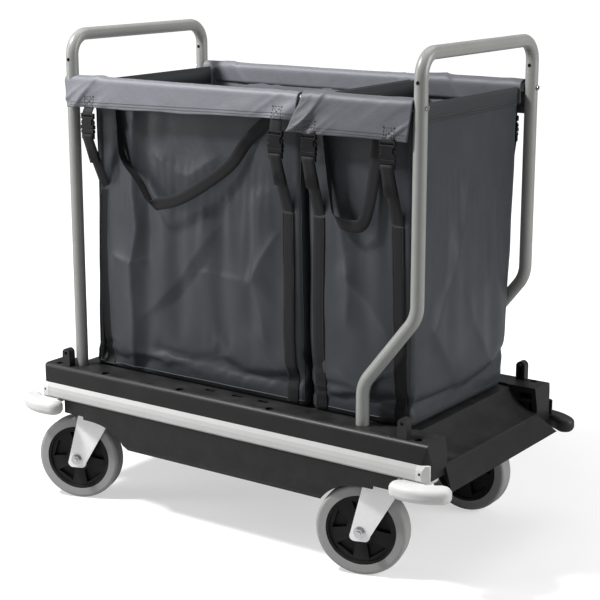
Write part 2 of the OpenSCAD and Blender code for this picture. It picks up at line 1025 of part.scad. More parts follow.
module axle(s) {
    out = fork_half + fork_t;
    color("silver")
        place_castor(s)
            at_axle() {
                translate([0, 0, -out - 6])
                    hexagon(19, 6);
                translate([0, 0, -out])
                    cylinder(r = axle_r, h = 2 * out + washer_t + nut_h + 3);
            }
}

module axle_nut(s) {
    out = fork_half + fork_t;
    color("silver")
        place_castor(s)
            at_axle()
                difference() {
                    union() {
                        translate([0, 0, out])
                            cylinder(r = washer_r, h = washer_t);
                        translate([0, 0, out + washer_t])
                            hexagon(2 * nut_r * cos(30), nut_h);
                    }
                    translate([0, 0, out - 1])
                        cylinder(r = axle_r + 0.05, h = washer_t + nut_h + 2);
                }
}

// Plastic hub: boss, web with five pockets on each face, and rim
module hub(s) {
    web_half = 15;
    pocket_from = web_half - window_depth;
    color([0.14, 0.14, 0.14])
        place_castor(s)
            at_axle()
                difference() {
                    union() {
                        translate([0, 0, -tyre_w / 2 - 1])
                            cylinder(r = boss_r, h = tyre_w + 2);
                        translate([0, 0, -web_half])
                            cylinder(r = hub_r - 2, h = 2 * web_half);
                        translate([0, 0, -hub_w / 2])
                            ring(hub_r - hub_fit, hub_r - 6, hub_w);
                    }
                    translate([0, 0, -tyre_w])
                        cylinder(r = axle_r + bush_t + hub_fit, h = 2 * tyre_w);
                    for (side = [0, 1])
                        mirror([0, 0, side])
                            for (i = [0:window_count - 1])
                                rotate([0, 0, i * 360 / window_count + 18])
                                    translate([0, 0, pocket_from])
                                        linear_extrude(window_depth + 1)
                                            window_outline();
                }
}

module window_outline() {
    spread = 0.36;
    polygon([
        [window_r[0], -window_r[0] * 0.27], [window_r[1], -window_r[1] * spread],
        [window_r[1], window_r[1] * spread], [window_r[0], window_r[0] * 0.27]
    ]);
}

// Tyre with round shoulders
module tyre(s) {
    flat_half = tyre_w / 2 - shoulder_r;
    color([0.55, 0.55, 0.55])
        place_castor(s)
            at_axle()
                rotate_extrude($fn = 128) {
                    translate([hub_r, -flat_half])
                        square([tyre_t, 2 * flat_half]);
                    translate([hub_r, -tyre_w / 2])
                        square([tyre_t - shoulder_r, tyre_w]);
                    for (y = SIDES)
                        translate([wheel_r - shoulder_r, y * flat_half])
                            circle(shoulder_r, $fn = 48);
                }
}

// Sleeve in the hub that turns on the axle
module wheel_bush(s) {
    half = fork_half - side_play;
    color([0.8, 0.78, 0.7])
        place_castor(s)
            at_axle()
                translate([0, 0, -half])
                    ring(axle_r + bush_t, axle_r + run_fit, 2 * half);
}

// ---- bags ----

// Half width of a bag's outer face at height z
function bag_y(z) = bag_half_base + (bag_in_y - bag_half_base) * min(1, (z - bag_floor_z) / (cuff_z - bag_floor_z));

// Outer shape of a bag, or its hollow when t is the cloth's thickness.
// x holds the rim's two ends, then the ends at the step and at the floor.
module bag_shape(x, t) {
    z0 = bag_floor_z + t;
    z1 = over_z + (t > 0 ? cloth + 1 : cloth);
    intersection() {
        along_y(-half_w, half_w)
            polygon([
                [x[4] + t, z0], [x[5] - t, z0], [x[3] - t, step_z], [x[1] - t, over_z],
                [x[1] - t, z1], [x[0] + t, z1], [x[0] + t, over_z], [x[2] + t, step_z]
            ]);
        along_x(x[0] - 1, x[1] + 1)
            polygon([
                [-bag_half_base + t, z0], [bag_half_base - t, z0], [bag_in_y - t, cuff_z], [bag_in_y - t, z1],
                [-bag_in_y + t, z1], [-bag_in_y + t, cuff_z]
            ]);
    }
}

// The bag's top, folded over the rail and down outside it
module cuffs(x0, x1) {
    both_sides()
        along_x(x0, x1)
            polygon([
                [bag_in_y - cloth, over_z], [bag_in_y - cloth, rim_z], [bag_out_y + cloth, rim_z],
                [bag_out_y + cloth + cuff_flare, cuff_z], [bag_out_y + cuff_flare, cuff_z], [bag_out_y, over_z]
            ]);
}

module bag(x) {
    difference() {
        bag_shape(x, 0);
        bag_shape(x, cloth);
    }
    cuffs(x[0], x[1]);
}

large_x = [rim_x0, rim_x1, rim_x0 + end_step, rim_x1, rim_x0 + end_step - 6, rim_x1];
small_x = [rim_x2, rim_x3, rim_x2, rim_x3 - 6, rim_x2, rim_x3 - end_lean];

// Sewn tab on the cuff, down to the buckle, and the long strap from the clip to the floor.
// place holds the strap's middle.
module webbing(place) {
    tab_top = cuff_z + tab_h;
    face = bag_out_y + cloth + cuff_flare;
    tab_y = face - cuff_flare * tab_h / (cuff_h - cloth);
    low_z = bag_floor_z + 6;
    clip_z = buckle_z - buckle[2] - clip_h + 6;
    clip_y = buckle_y + buckle[1] / 2;
    both_sides()
        for (x = place)
            along_x(x - web_w / 2, x + web_w / 2) {
                polygon([
                    [tab_y + cloth_gap, tab_top], [face + cloth_gap, cuff_z], [face + cloth_gap, buckle_z],
                    [face + cloth_gap + web_t, buckle_z], [face + cloth_gap + web_t, cuff_z],
                    [tab_y + cloth_gap + web_t, tab_top]
                ]);
                polygon([
                    [bag_y(low_z) + cloth_gap, low_z], [bag_y(strap_free_z) + cloth_gap, strap_free_z],
                    [clip_y, clip_z], [clip_y + web_t, clip_z],
                    [bag_y(strap_free_z) + cloth_gap + web_t, strap_free_z],
                    [bag_y(low_z) + cloth_gap + web_t, low_z]
                ]);
            }
}

// Socket half of the side-release buckles
module buckles(place) {
    both_sides()
        for (x = place)
            translate([x, buckle_y + cuff_flare - 4, buckle_z])
                difference() {
                    translate([-buckle[0] / 2, 0, -buckle[2]])
                        cube(buckle);
                    translate([-buckle[0] / 2 + 6, 3, -buckle[2] - 1])
                        cube([buckle[0] - 12, buckle[1] - 6, buckle[2] - 7]);
                }
}

// Clip half, pushed into the socket, with the strap's bar
module clips(place) {
    both_sides()
        for (x = place)
            translate([x, buckle_y + cuff_flare - 4, buckle_z - buckle[2]]) {
                translate([-buckle[0] / 2, 0.5, -clip_h + 6])
                    cube([buckle[0], buckle[1] - 1, clip_h - 6.5]);
                translate([-buckle[0] / 2 + 7, 3.5, -1])
                    cube([buckle[0] - 14, buckle[1] - 7, buckle[2] - 12]);
            }
}

// Flat band of width w along points p in the plane
module band(p, w) {
    lap = w * band_lap;
    for (i = [0:len(p) - 2]) {
        d = p[i + 1] - p[i];
        translate(p[i])
            rotate([0, 0, atan2(d[1], d[0])])
                translate([-lap, -w / 2])
                    square([norm(d) + 2 * lap, w]);
    }
}

// Slack carry handle on each long side, hanging straight down from behind the cuff
module carry_handles(p) {
    y0 = bag_in_y + cloth_gap;
    both_sides()
        along_y(y0, y0 + web_t)
            band(p, carry_w);
}

large_straps = [rim_x0 + end_step + web_w / 2 + 2, rim_x1 - web_w - 10];
small_straps = [rim_x2 + web_w / 2 + 20, rim_x3 - web_w - 12];
carry_top = cuff_z - handle_drop;
large_carry = [
    [rim_x0 + 112, carry_top], [rim_x0 + 178, carry_top - 165], [rim_x0 + 235, carry_top - 225],
    [rim_x0 + 330, carry_top - 165], [rim_x1 - 78, carry_top]
];
small_carry = [
    [rim_x2 + 56, carry_top], [rim_x2 + 76, carry_top - 115], [rim_x2 + 102, carry_top - 172],
    [rim_x2 + 156, carry_top - 172], [rim_x2 + 176, carry_top]
];

module large_bag() {
    color([0.29, 0.31, 0.33])
        bag(large_x);
}

module small_bag() {
    color([0.29, 0.31, 0.33])
        bag(small_x);
}

module large_bag_webbing() {
    color([0.1, 0.1, 0.11])
        webbing(large_straps);
}

module small_bag_webbing() {
    color([0.1, 0.1, 0.11])
        webbing(small_straps);
}

module large_bag_buckles() {
    color([0.07, 0.07, 0.07])
        buckles(large_straps);
}

module small_bag_buckles() {
    color([0.07, 0.07, 0.07])
        buckles(small_straps);
}

module large_bag_clips() {
    color([0.07, 0.07, 0.07])
        clips(large_straps);
}

module small_bag_clips() {
    color([0.07, 0.07, 0.07])
        clips(small_straps);
}

module large_bag_handles() {
    color([0.12, 0.12, 0.13])
        carry_handles(large_carry);
}

module small_bag_handles() {
    color([0.12, 0.12, 0.13])
        carry_handles(small_carry);
}

deck();
side_lugs();
bumper_rail_front();
bumper_rail_rear();
rail_caps_front();
rail_caps_rear();
cap_screws();
corner_pads_front();
corner_pads_rear();
pad_screws();
handle_left();
handle_right();
post_plugs();
post_bolts();
bag_rail_front();
bag_rail_rear();
bag_rail_plugs();
bag_rail_screws();
castor_plates();
castor_bolts();
king_pins();
fork(SWIVELS[0]);  // fork_fl
fork(SWIVELS[1]);  // fork_fr
fork(SWIVELS[2]);  // fork_rl
fork(SWIVELS[3]);  // fork_rr
swivel_balls(SWIVELS[0]);  // swivel_balls_fl
swivel_balls(SWIVELS[1]);  // swivel_balls_fr
swivel_balls(SWIVELS[2]);  // swivel_balls_rl
swivel_balls(SWIVELS[3]);  // swivel_balls_rr
axle(SWIVELS[0]);  // axle_fl
axle(SWIVELS[1]);  // axle_fr
axle(SWIVELS[2]);  // axle_rl
axle(SWIVELS[3]);  // axle_rr
axle_nut(SWIVELS[0]);  // axle_nut_fl
axle_nut(SWIVELS[1]);  // axle_nut_fr
axle_nut(SWIVELS[2]);  // axle_nut_rl
axle_nut(SWIVELS[3]);  // axle_nut_rr
hub(SWIVELS[0]);  // hub_fl
hub(SWIVELS[1]);  // hub_fr
hub(SWIVELS[2]);  // hub_rl
hub(SWIVELS[3]);  // hub_rr
tyre(SWIVELS[0]);  // tyre_fl
tyre(SWIVELS[1]);  // tyre_fr
tyre(SWIVELS[2]);  // tyre_rl
tyre(SWIVELS[3]);  // tyre_rr
wheel_bush(SWIVELS[0]);  // wheel_bush_fl
wheel_bush(SWIVELS[1]);  // wheel_bush_fr
wheel_bush(SWIVELS[2]);  // wheel_bush_rl
wheel_bush(SWIVELS[3]);  // wheel_bush_rr
large_bag();
large_bag_webbing();
large_bag_buckles();
large_bag_clips();
large_bag_handles();
small_bag();
small_bag_webbing();
small_bag_buckles();
small_bag_clips();
small_bag_handles();
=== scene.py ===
"""Housekeeping cart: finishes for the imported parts, and the two laundry bags modelled as sewn cloth."""

import math

import bmesh
import bpy
import numpy as np
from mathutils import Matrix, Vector, noise
from mathutils.bvhtree import BVHTree


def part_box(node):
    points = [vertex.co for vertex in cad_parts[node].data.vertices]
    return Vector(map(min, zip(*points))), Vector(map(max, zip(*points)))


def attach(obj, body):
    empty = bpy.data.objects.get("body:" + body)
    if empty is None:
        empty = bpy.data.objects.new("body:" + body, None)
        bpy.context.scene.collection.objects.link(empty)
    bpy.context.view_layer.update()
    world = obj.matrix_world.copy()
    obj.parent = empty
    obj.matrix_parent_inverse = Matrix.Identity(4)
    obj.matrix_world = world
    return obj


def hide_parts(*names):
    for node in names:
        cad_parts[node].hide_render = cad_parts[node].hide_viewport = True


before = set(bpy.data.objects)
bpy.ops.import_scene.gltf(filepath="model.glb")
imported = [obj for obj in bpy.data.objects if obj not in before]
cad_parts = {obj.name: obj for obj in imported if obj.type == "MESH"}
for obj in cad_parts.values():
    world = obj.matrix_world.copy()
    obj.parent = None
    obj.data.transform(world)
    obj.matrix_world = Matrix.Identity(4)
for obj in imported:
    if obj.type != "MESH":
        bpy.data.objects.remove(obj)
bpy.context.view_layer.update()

MM = 0.001
FRONT, REAR = -1, 1
CASTORS = ("fl", "fr", "rl", "rr")

# Cloth: its thickness, the spacing of the drawn walls and of the coarse walls that settle, and its seams
CLOTH_T = 1.1 * MM
GRID = 5.2 * MM
COARSE_GRID = 10 * MM
CORNER_R = 14 * MM
BASE_R = 12 * MM
HEM_H = 38 * MM
THREAD = 0.9 * MM

# Webbing and stitches
WEB_W = 30 * MM
WEB_T = 1.6 * MM
CARRY_W = 27 * MM
STITCH = 4.2 * MM
STITCH_GAP = 6.5 * MM
STITCH_R = 0.55 * MM


# ---- node helpers ----


def put(tree, kind, settings=None, **inputs):
    """Adds a node. A value that is a socket is linked, and _0, _1 name inputs by number."""
    node = tree.nodes.new(kind)
    for key, value in (settings or {}).items():
        setattr(node, key, value)
    for key, value in inputs.items():
        socket = node.inputs[int(key[1:])] if key[0] == "_" else node.inputs[key.replace("_", " ")]
        if isinstance(value, bpy.types.NodeSocket):
            tree.links.new(value, socket)
        else:
            socket.default_value = value
    return node


def math_node(tree, operation, *values, clamp=False):
    inputs = {f"_{i}": v for i, v in enumerate(values)}
    return put(tree, "ShaderNodeMath", {"operation": operation, "use_clamp": clamp}, **inputs).outputs[0]


def mix_colour(tree, factor, a, b, blend="MIX"):
    settings = {"data_type": "RGBA", "blend_type": blend}
    return put(tree, "ShaderNodeMix", settings, _0=factor, _6=a, _7=b).outputs[2]


def ramp(tree, value, low, high, to_low=0.0, to_high=1.0):
    return put(
        tree, "ShaderNodeMapRange", {"clamp": True}, _0=value, _1=low, _2=high, _3=to_low, _4=to_high
    ).outputs[0]


def shader_group(name, inputs, outputs):
    """An empty shader group with its sockets. inputs and outputs are (name, kind, default)."""
    tree = bpy.data.node_groups.new(name, "ShaderNodeTree")
    for direction, sockets in (("INPUT", inputs), ("OUTPUT", outputs)):
        for label, kind, *default in sockets:
            socket = tree.interface.new_socket(label, in_out=direction, socket_type=f"NodeSocket{kind}")
            if default:
                socket.default_value = default[0]
    return tree, tree.nodes.new("NodeGroupInput"), tree.nodes.new("NodeGroupOutput")


# ---- shader groups ----


def make_grain():
    """Fine surface texture: an uneven normal, a roughness that varies and a soft colour mottle."""
    tree, into, out = shader_group(
        "grain",
        [
            ("Size", "Float", 1.0),
            ("Depth", "Float", 0.1),
            ("Roughness", "Float", 0.5),
            ("Spread", "Float", 0.1),
            ("Patch Size", "Float", 60.0),
        ],
        [("Normal", "Vector"), ("Roughness", "Float"), ("Mottle", "Float")],
    )
    place = put(tree, "ShaderNodeTexCoord").outputs["Object"]
    fine = put(tree, "ShaderNodeTexNoise", Vector=place, Detail=3.0, Roughness=0.6)
    scale = math_node(tree, "DIVIDE", 1000.0, into.outputs["Size"])
    tree.links.new(scale, fine.inputs["Scale"])
    patch = put(tree, "ShaderNodeTexNoise", Vector=place, Detail=4.0, Roughness=0.65)
    tree.links.new(math_node(tree, "DIVIDE", 1000.0, into.outputs["Patch Size"]), patch.inputs["Scale"])
    bump = put(tree, "ShaderNodeBump", Height=fine.outputs[0], Distance=0.0004)
    tree.links.new(into.outputs["Depth"], bump.inputs["Strength"])
    centred = math_node(tree, "SUBTRACT", patch.outputs[0], 0.5)
    spread = math_node(tree, "MULTIPLY", centred, into.outputs["Spread"])
    rough = math_node(tree, "ADD", into.outputs["Roughness"], math_node(tree, "MULTIPLY", spread, 2.0))
    tree.links.new(bump.outputs[0], out.inputs["Normal"])
    tree.links.new(rough, out.inputs["Roughness"])
    tree.links.new(patch.outputs[0], out.inputs["Mottle"])
    return tree


def make_wear():
    """Mask of scratches and dust: thin scratches, and dust that gathers low down and on upward faces."""
    tree, into, out = shader_group(
        "wear",
        [("Scratches", "Float", 0.3), ("Dust", "Float", 0.3), ("Dust Top", "Float", 0.3)],
        [("Scratch", "Float"), ("Dust", "Float")],
    )
    place = put(tree, "ShaderNodeTexCoord").outputs["Object"]
    masks = []
    for turn in ((0.3, 0.2, 0.5), (0.9, -0.4, 1.9)):
        turned = put(tree, "ShaderNodeMapping", Vector=place, Rotation=turn, Scale=(9.0, 160.0, 160.0))
        lines = put(tree, "ShaderNodeTexNoise", Vector=turned.outputs[0], Scale=2.0, Detail=2.0)
        masks.append(ramp(tree, lines.outputs[0], 0.69, 0.74))
    both = math_node(tree, "MAXIMUM", *masks)
    where = put(tree, "ShaderNodeTexNoise", Vector=place, Scale=7.0, Detail=2.0)
    thin = math_node(tree, "MULTIPLY", both, ramp(tree, where.outputs[0], 0.45, 0.65))
    tree.links.new(math_node(tree, "MULTIPLY", thin, into.outputs["Scratches"]), out.inputs["Scratch"])
    up = put(tree, "ShaderNodeSeparateXYZ", Vector=put(tree, "ShaderNodeNewGeometry").outputs["Normal"])
    height = put(tree, "ShaderNodeSeparateXYZ", Vector=place)
    low = math_node(tree, "SUBTRACT", into.outputs["Dust Top"], height.outputs["Z"])
    low = ramp(tree, low, 0.0, 0.3)
    cloud = put(tree, "ShaderNodeTexNoise", Vector=place, Scale=22.0, Detail=5.0, Roughness=0.7)
    settled = math_node(tree, "MAXIMUM", ramp(tree, up.outputs["Z"], 0.5, 1.0, 0.0, 0.7), low)
    dust = math_node(tree, "MULTIPLY", settled, ramp(tree, cloud.outputs[0], 0.4, 0.75))
    tree.links.new(math_node(tree, "MULTIPLY", dust, into.outputs["Dust"]), out.inputs["Dust"])
    return tree


def make_weave():
    """Plain weave on the UV map, which is in metres: height of the threads, and their shade."""
    tree, into, out = shader_group(
        "weave",
        [("Thread", "Float", 0.001), ("Depth", "Float", 0.5), ("Lean", "Float", 0.0)],
        [("Normal", "Vector"), ("Height", "Float"), ("Shade", "Float")],
    )
    uv = put(tree, "ShaderNodeUVMap", {"uv_map": "UVMap"}).outputs[0]
    cells = put(tree, "ShaderNodeVectorMath", {"operation": "DIVIDE"}, _0=uv)
    size = put(tree, "ShaderNodeCombineXYZ", Z=1.0)
    for axis in "XY":
        tree.links.new(into.outputs["Thread"], size.inputs[axis])
    tree.links.new(size.outputs[0], cells.inputs[1])
    parts = put(tree, "ShaderNodeSeparateXYZ", Vector=cells.outputs[0])
    u, v = parts.outputs["X"], parts.outputs["Y"]
    leaned = math_node(tree, "ADD", u, math_node(tree, "MULTIPLY", v, into.outputs["Lean"]))
    across = math_node(tree, "SINE", math_node(tree, "MULTIPLY", leaned, math.pi))
    along = math_node(tree, "SINE", math_node(tree, "MULTIPLY", v, math.pi))
    over = math_node(tree, "MULTIPLY", across, along)
    height = ramp(tree, over, -1.0, 1.0)
    bump = put(tree, "ShaderNodeBump", Height=height, Distance=0.0003)
    tree.links.new(into.outputs["Depth"], bump.inputs["Strength"])
    slub = put(tree, "ShaderNodeMapping", Vector=uv, Scale=(60.0, 900.0, 1.0))
    lines = put(tree, "ShaderNodeTexNoise", Vector=slub.outputs[0], Scale=1.0, Detail=2.0)
    shade = math_node(tree, "ADD", math_node(tree, "MULTIPLY", height, 0.35), lines.outputs[0])
    tree.links.new(bump.outputs[0], out.inputs["Normal"])
    tree.links.new(height, out.inputs["Height"])
    tree.links.new(shade, out.inputs["Shade"])
    return tree


GRAIN, WEAR, WEAVE = make_grain(), make_wear(), make_weave()


# ---- materials ----


def new_material(name, **sockets):
    """A material with a Principled shader whose plain values are set on its own sockets."""
    material = bpy.data.materials.new(name)
    material.use_nodes = True
    tree = material.node_tree
    shader = tree.nodes["Principled BSDF"]
    for key, value in sockets.items():
        shader.inputs[key.replace("_", " ")].default_value = value
    return material, tree, shader


def tint(colour, factor):
    return tuple(min(1.0, c * factor) for c in colour) + (1.0,)


def solid_finish(
    name, colour, size=1.2, depth=0.15, rough=0.45, spread=0.08, mottle=0.12, scratches=0.15,
    dust=0.15, dust_top=0.3, scratch_colour=None, **sockets,
):
    """Moulded, painted or plated surface with grain, mottle, scratches and dust."""
    material, tree, shader = new_material(name, **sockets)
    grain = put(
        tree, "ShaderNodeGroup", {"node_tree": GRAIN}, Size=size, Depth=depth, Roughness=rough, Spread=spread
    )
    wear = put(
        tree, "ShaderNodeGroup", {"node_tree": WEAR}, Scratches=scratches, Dust=dust, **{"_2": dust_top}
    )
    patches = ramp(tree, grain.outputs["Mottle"], 0.3, 0.7)
    base = mix_colour(tree, patches, tint(colour, 1 - mottle), tint(colour, 1 + mottle))
    pale = scratch_colour or tuple(min(1.0, c * 1.6 + 0.05) for c in colour)
    base = mix_colour(tree, wear.outputs["Scratch"], base, (*pale, 1.0))
    base = mix_colour(tree, wear.outputs["Dust"], base, (0.42, 0.41, 0.39, 1.0))
    dulled = math_node(tree, "MULTIPLY", wear.outputs["Dust"], 0.5)
    rougher = math_node(tree, "ADD", grain.outputs["Roughness"], dulled)
    tree.links.new(base, shader.inputs["Base Color"])
    tree.links.new(rougher, shader.inputs["Roughness"])
    tree.links.new(grain.outputs["Normal"], shader.inputs["Normal"])
    return material


def cloth_finish(name, colour, thread, depth, rough, contrast=0.18, lean=0.0, patch=0.08, **sockets):
    """Woven cloth or webbing: threads from the UV map, slubs along them and soft patches."""
    material, tree, shader = new_material(name, **sockets)
    weave = put(tree, "ShaderNodeGroup", {"node_tree": WEAVE}, Thread=thread, Depth=depth, Lean=lean)
    grain = put(
        tree, "ShaderNodeGroup", {"node_tree": GRAIN}, Size=30.0, Depth=0.0, Roughness=rough, Spread=0.1
    )
    shade = ramp(tree, weave.outputs["Shade"], 0.35, 1.0)
    base = mix_colour(tree, shade, tint(colour, 1 - contrast), tint(colour, 1 + contrast))
    soft = ramp(tree, grain.outputs["Mottle"], 0.3, 0.7)
    faded = mix_colour(tree, soft, tint((1, 1, 1), 1 - patch), (1.0, 1.0, 1.0, 1.0))
    base = mix_colour(tree, 1.0, base, faded, "MULTIPLY")
    tree.links.new(base, shader.inputs["Base Color"])
    tree.links.new(grain.outputs["Roughness"], shader.inputs["Roughness"])
    tree.links.new(weave.outputs["Normal"], shader.inputs["Normal"])
    return material


DECK = solid_finish(
    "deck_black", (0.0125, 0.0125, 0.013), size=1.6, depth=0.35, rough=0.42, dust=0.06,
    Specular_IOR_Level=0.25,
)
LUG = solid_finish(
    "lug_black", (0.014, 0.014, 0.015), size=1.4, depth=0.3, rough=0.42, dust=0.08, Specular_IOR_Level=0.3,
)
RAIL_GREY = solid_finish(
    "bumper_grey", (0.46, 0.46, 0.455), size=2.0, depth=0.08, rough=0.34, mottle=0.03, dust=0.08,
    scratch_colour=(0.25, 0.25, 0.25),
)
PAD_GREY = solid_finish(
    "pad_grey", (0.57, 0.57, 0.565), size=1.2, depth=0.25, rough=0.50, mottle=0.05, dust=0.12,
    scratch_colour=(0.2, 0.2, 0.2),
)
BUMPER_BLACK = solid_finish(
    "bumper_black", (0.012, 0.012, 0.013), size=1.5, depth=0.2, rough=0.45, Specular_IOR_Level=0.3,
)
TUBE = solid_finish(
    "tube_grey", (0.25, 0.255, 0.243), size=2.6, depth=0.10, rough=0.36, spread=0.05, mottle=0.04,
    scratches=0.2, dust=0.05, scratch_colour=(0.55, 0.55, 0.53), Coat_Weight=0.15, Coat_Roughness=0.25,
)
ZINC = solid_finish(
    "castor_zinc", (0.93, 0.93, 0.935), size=9.0, depth=0.04, rough=0.42, spread=0.12, mottle=0.04,
    scratches=0.25, dust=0.05, scratch_colour=(0.6, 0.6, 0.6), Metallic=0.15,
)
STEEL = solid_finish(
    "bright_steel", (0.62, 0.62, 0.63), size=3.0, depth=0.05, rough=0.26, mottle=0.08, dust=0.03,
    scratch_colour=(0.35, 0.35, 0.35), Metallic=1.0,
)
SCREW = solid_finish("black_screw", (0.012, 0.012, 0.012), size=2.0, depth=0.1, rough=0.35)
HUB = solid_finish(
    "hub_black", (0.006, 0.006, 0.0065), size=1.3, depth=0.25, rough=0.5, dust=0.05, Specular_IOR_Level=0.2,
)
TYRE = solid_finish(
    "tyre_grey", (0.30, 0.30, 0.297), size=1.0, depth=0.35, rough=0.62, mottle=0.07, scratches=0.3,
    dust=0.25, dust_top=0.12, scratch_colour=(0.12, 0.12, 0.12),
)
BUSH = solid_finish("bush_nylon", (0.62, 0.58, 0.47), rough=0.4, depth=0.05)
BUCKLE = solid_finish(
    "buckle_black", (0.006, 0.006, 0.007), size=1.2, depth=0.12, rough=0.34, dust=0.02,
    Specular_IOR_Level=0.3,
)

FABRIC = cloth_finish(
    "bag_outer", (0.031, 0.035, 0.041), THREAD, 0.35, 0.38, Sheen_Weight=0.03, Sheen_Roughness=0.4,
    Specular_IOR_Level=0.35,
)
LINING = cloth_finish(
    "bag_lining", (0.155, 0.158, 0.178), THREAD, 0.30, 0.50, Sheen_Weight=0.05, Sheen_Roughness=0.4,
    Specular_IOR_Level=0.35,
)
# A darker copy of the same lining fabric, used for the small bag's cuffs: this is painted shade, not a
# different cloth
SHADED_SMALL_LINING = cloth_finish(
    "small_bag_lining", (0.098, 0.100, 0.114), THREAD, 0.30, 0.50, Sheen_Weight=0.05, Sheen_Roughness=0.4,
    Specular_IOR_Level=0.35,
)
HEM = cloth_finish(
    "bag_hem", (0.024, 0.027, 0.029), THREAD, 0.35, 0.50, Sheen_Weight=0.03, Specular_IOR_Level=0.3,
)
WEBBING = cloth_finish(
    "webbing_black", (0.0085, 0.0085, 0.010), 2.0 * MM, 0.9, 0.65, contrast=0.4, lean=1.0,
    Sheen_Weight=0.05, Specular_IOR_Level=0.2,
)
THREAD_BLACK = cloth_finish("thread_black", (0.028, 0.028, 0.031), 0.5 * MM, 0.2, 0.6, Sheen_Weight=0.3)

FINISHES = {
    "deck": DECK,
    "side_lugs": LUG,
    "bumper_rail_front": RAIL_GREY,
    "rail_caps_front": PAD_GREY,
    "corner_pads_front": PAD_GREY,
    "bumper_rail_rear": BUMPER_BLACK,
    "rail_caps_rear": BUMPER_BLACK,
    "corner_pads_rear": BUMPER_BLACK,
    "cap_screws": SCREW,
    "pad_screws": STEEL,
    "handle_left": TUBE,
    "handle_right": TUBE,
    "bag_rail_front": TUBE,
    "bag_rail_rear": TUBE,
    "post_plugs": STEEL,
    "post_bolts": STEEL,
    "bag_rail_plugs": BUMPER_BLACK,
    "bag_rail_screws": STEEL,
    "castor_plates": ZINC,
    "castor_bolts": STEEL,
    "king_pins": STEEL,
}
for castor in CASTORS:
    FINISHES |= {
        f"fork_{castor}": ZINC,
        f"swivel_balls_{castor}": STEEL,
        f"axle_{castor}": STEEL,
        f"axle_nut_{castor}": STEEL,
        f"hub_{castor}": HUB,
        f"tyre_{castor}": TYRE,
        f"wheel_bush_{castor}": BUSH,
    }
for node_name, finish in FINISHES.items():
    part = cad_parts[node_name]
    part.data.materials.clear()
    part.data.materials.append(finish)


# ---- camera, light and floor ----


def look_along(azimuth, pitch):
    """Rotation of a camera that is turned from +Y towards -X by azimuth, and down by pitch, in degrees."""
    return (math.radians(90 - pitch), 0.0, math.radians(azimuth))


camera = bpy.data.objects.new("camera", bpy.data.cameras.new("camera"))
bpy.context.scene.collection.objects.link(camera)
camera.location = (2.020, -2.838, 1.340)
camera.rotation_euler = look_along(35.14, 13.62)
camera.data.lens, camera.data.sensor_width = 93.8, 36.0
bpy.context.scene.camera = camera


def area_light(name, place, aim, size, power):
    light = bpy.data.lights.new(name, "AREA")
    light.shape, light.size, light.size_y, light.energy = "RECTANGLE", *size, power
    lamp = bpy.data.objects.new(name, light)
    lamp.location = place
    lamp.rotation_euler = (Vector(aim) - Vector(place)).to_track_quat("-Z", "Y").to_euler()
    bpy.context.scene.collection.objects.link(lamp)


area_light("key", (-1.7, -1.75, 3.5), (0, 0, 0.6), (0.45, 0.45), 215)
area_light("left", (-2.7, -1.9, 1.5), (0, 0, 0.5), (0.8, 1.8), 34)
area_light("right", (3.6, 1.1, 2.0), (0.2, 0, 0.6), (1.4, 2.2), 105)
area_light("top", (0.5, 0.8, 3.8), (0, 0, 0.5), (2.6, 2.6), 40)

AMBIENT = 0.22
FLOOR_GLOW_NEAR, FLOOR_GLOW_FAR = 0.54, 0.95
world = bpy.data.worlds.new("studio")
world.use_nodes = True
backdrop = world.node_tree.nodes["Background"]
backdrop.inputs["Color"].default_value = (1.0, 1.0, 1.0, 1.0)
seen = put(world.node_tree, "ShaderNodeLightPath").outputs["Is Camera Ray"]
world.node_tree.links.new(ramp(world.node_tree, seen, 0.0, 1.0, AMBIENT, 1.0), backdrop.inputs["Strength"])
bpy.context.scene.world = world
bpy.context.scene.view_settings.view_transform = "Standard"

floor_mesh = bpy.data.meshes.new("floor")
FLOOR_HALF = 30.0
corners = [(x * FLOOR_HALF, y * FLOOR_HALF, 0.0) for x, y in ((-1, -1), (1, -1), (1, 1), (-1, 1))]
floor_mesh.from_pydata(corners, [], [(0, 1, 2, 3)])
floor = bpy.data.objects.new("floor", floor_mesh)
bpy.context.scene.collection.objects.link(floor)
floor_material, floor_tree, floor_shader = new_material("floor_white", Roughness=0.9)
speckle = put(
    floor_tree, "ShaderNodeTexNoise", Vector=put(floor_tree, "ShaderNodeTexCoord").outputs["Object"],
    Scale=40.0, Detail=4.0,
)
floor_tree.links.new(
    mix_colour(floor_tree, speckle.outputs[0], (0.46, 0.46, 0.46, 1), (0.48, 0.48, 0.48, 1)),
    floor_shader.inputs["Base Color"],
)
floor_shader.inputs["Emission Color"].default_value = (1.0, 1.0, 1.0, 1.0)
floor_seen = put(floor_tree, "ShaderNodeLightPath").outputs["Is Camera Ray"]
floor_place = put(floor_tree, "ShaderNodeTexCoord").outputs["Object"]
from_middle = put(
    floor_tree, "ShaderNodeVectorMath", {"operation": "LENGTH"}, _0=floor_place
).outputs["Value"]
glow = ramp(floor_tree, from_middle, 0.7, 2.4, FLOOR_GLOW_NEAR, FLOOR_GLOW_FAR)
glow = math_node(floor_tree, "MULTIPLY", glow, floor_seen)
floor_tree.links.new(glow, floor_shader.inputs["Emission Strength"])
floor_mesh.materials.append(floor_material)


# ---- mesh helpers ----


def add_piece(name, mesh, material, body):
    """Links a finished mesh as a piece that rides on a body."""
    piece = bpy.data.objects.new(name, mesh)
    bpy.context.scene.collection.objects.link(piece)
    if material is not None:
        mesh.materials.clear()
        mesh.materials.append(material)
    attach(piece, body)
    return piece


def bake_modifiers(piece):
    """Replaces a piece's mesh by the result of its modifiers."""
    made = bpy.data.meshes.new_from_object(piece.evaluated_get(bpy.context.evaluated_depsgraph_get()))
    old = piece.data
    piece.modifiers.clear()
    piece.data = made
    bpy.data.meshes.remove(old)
    return piece


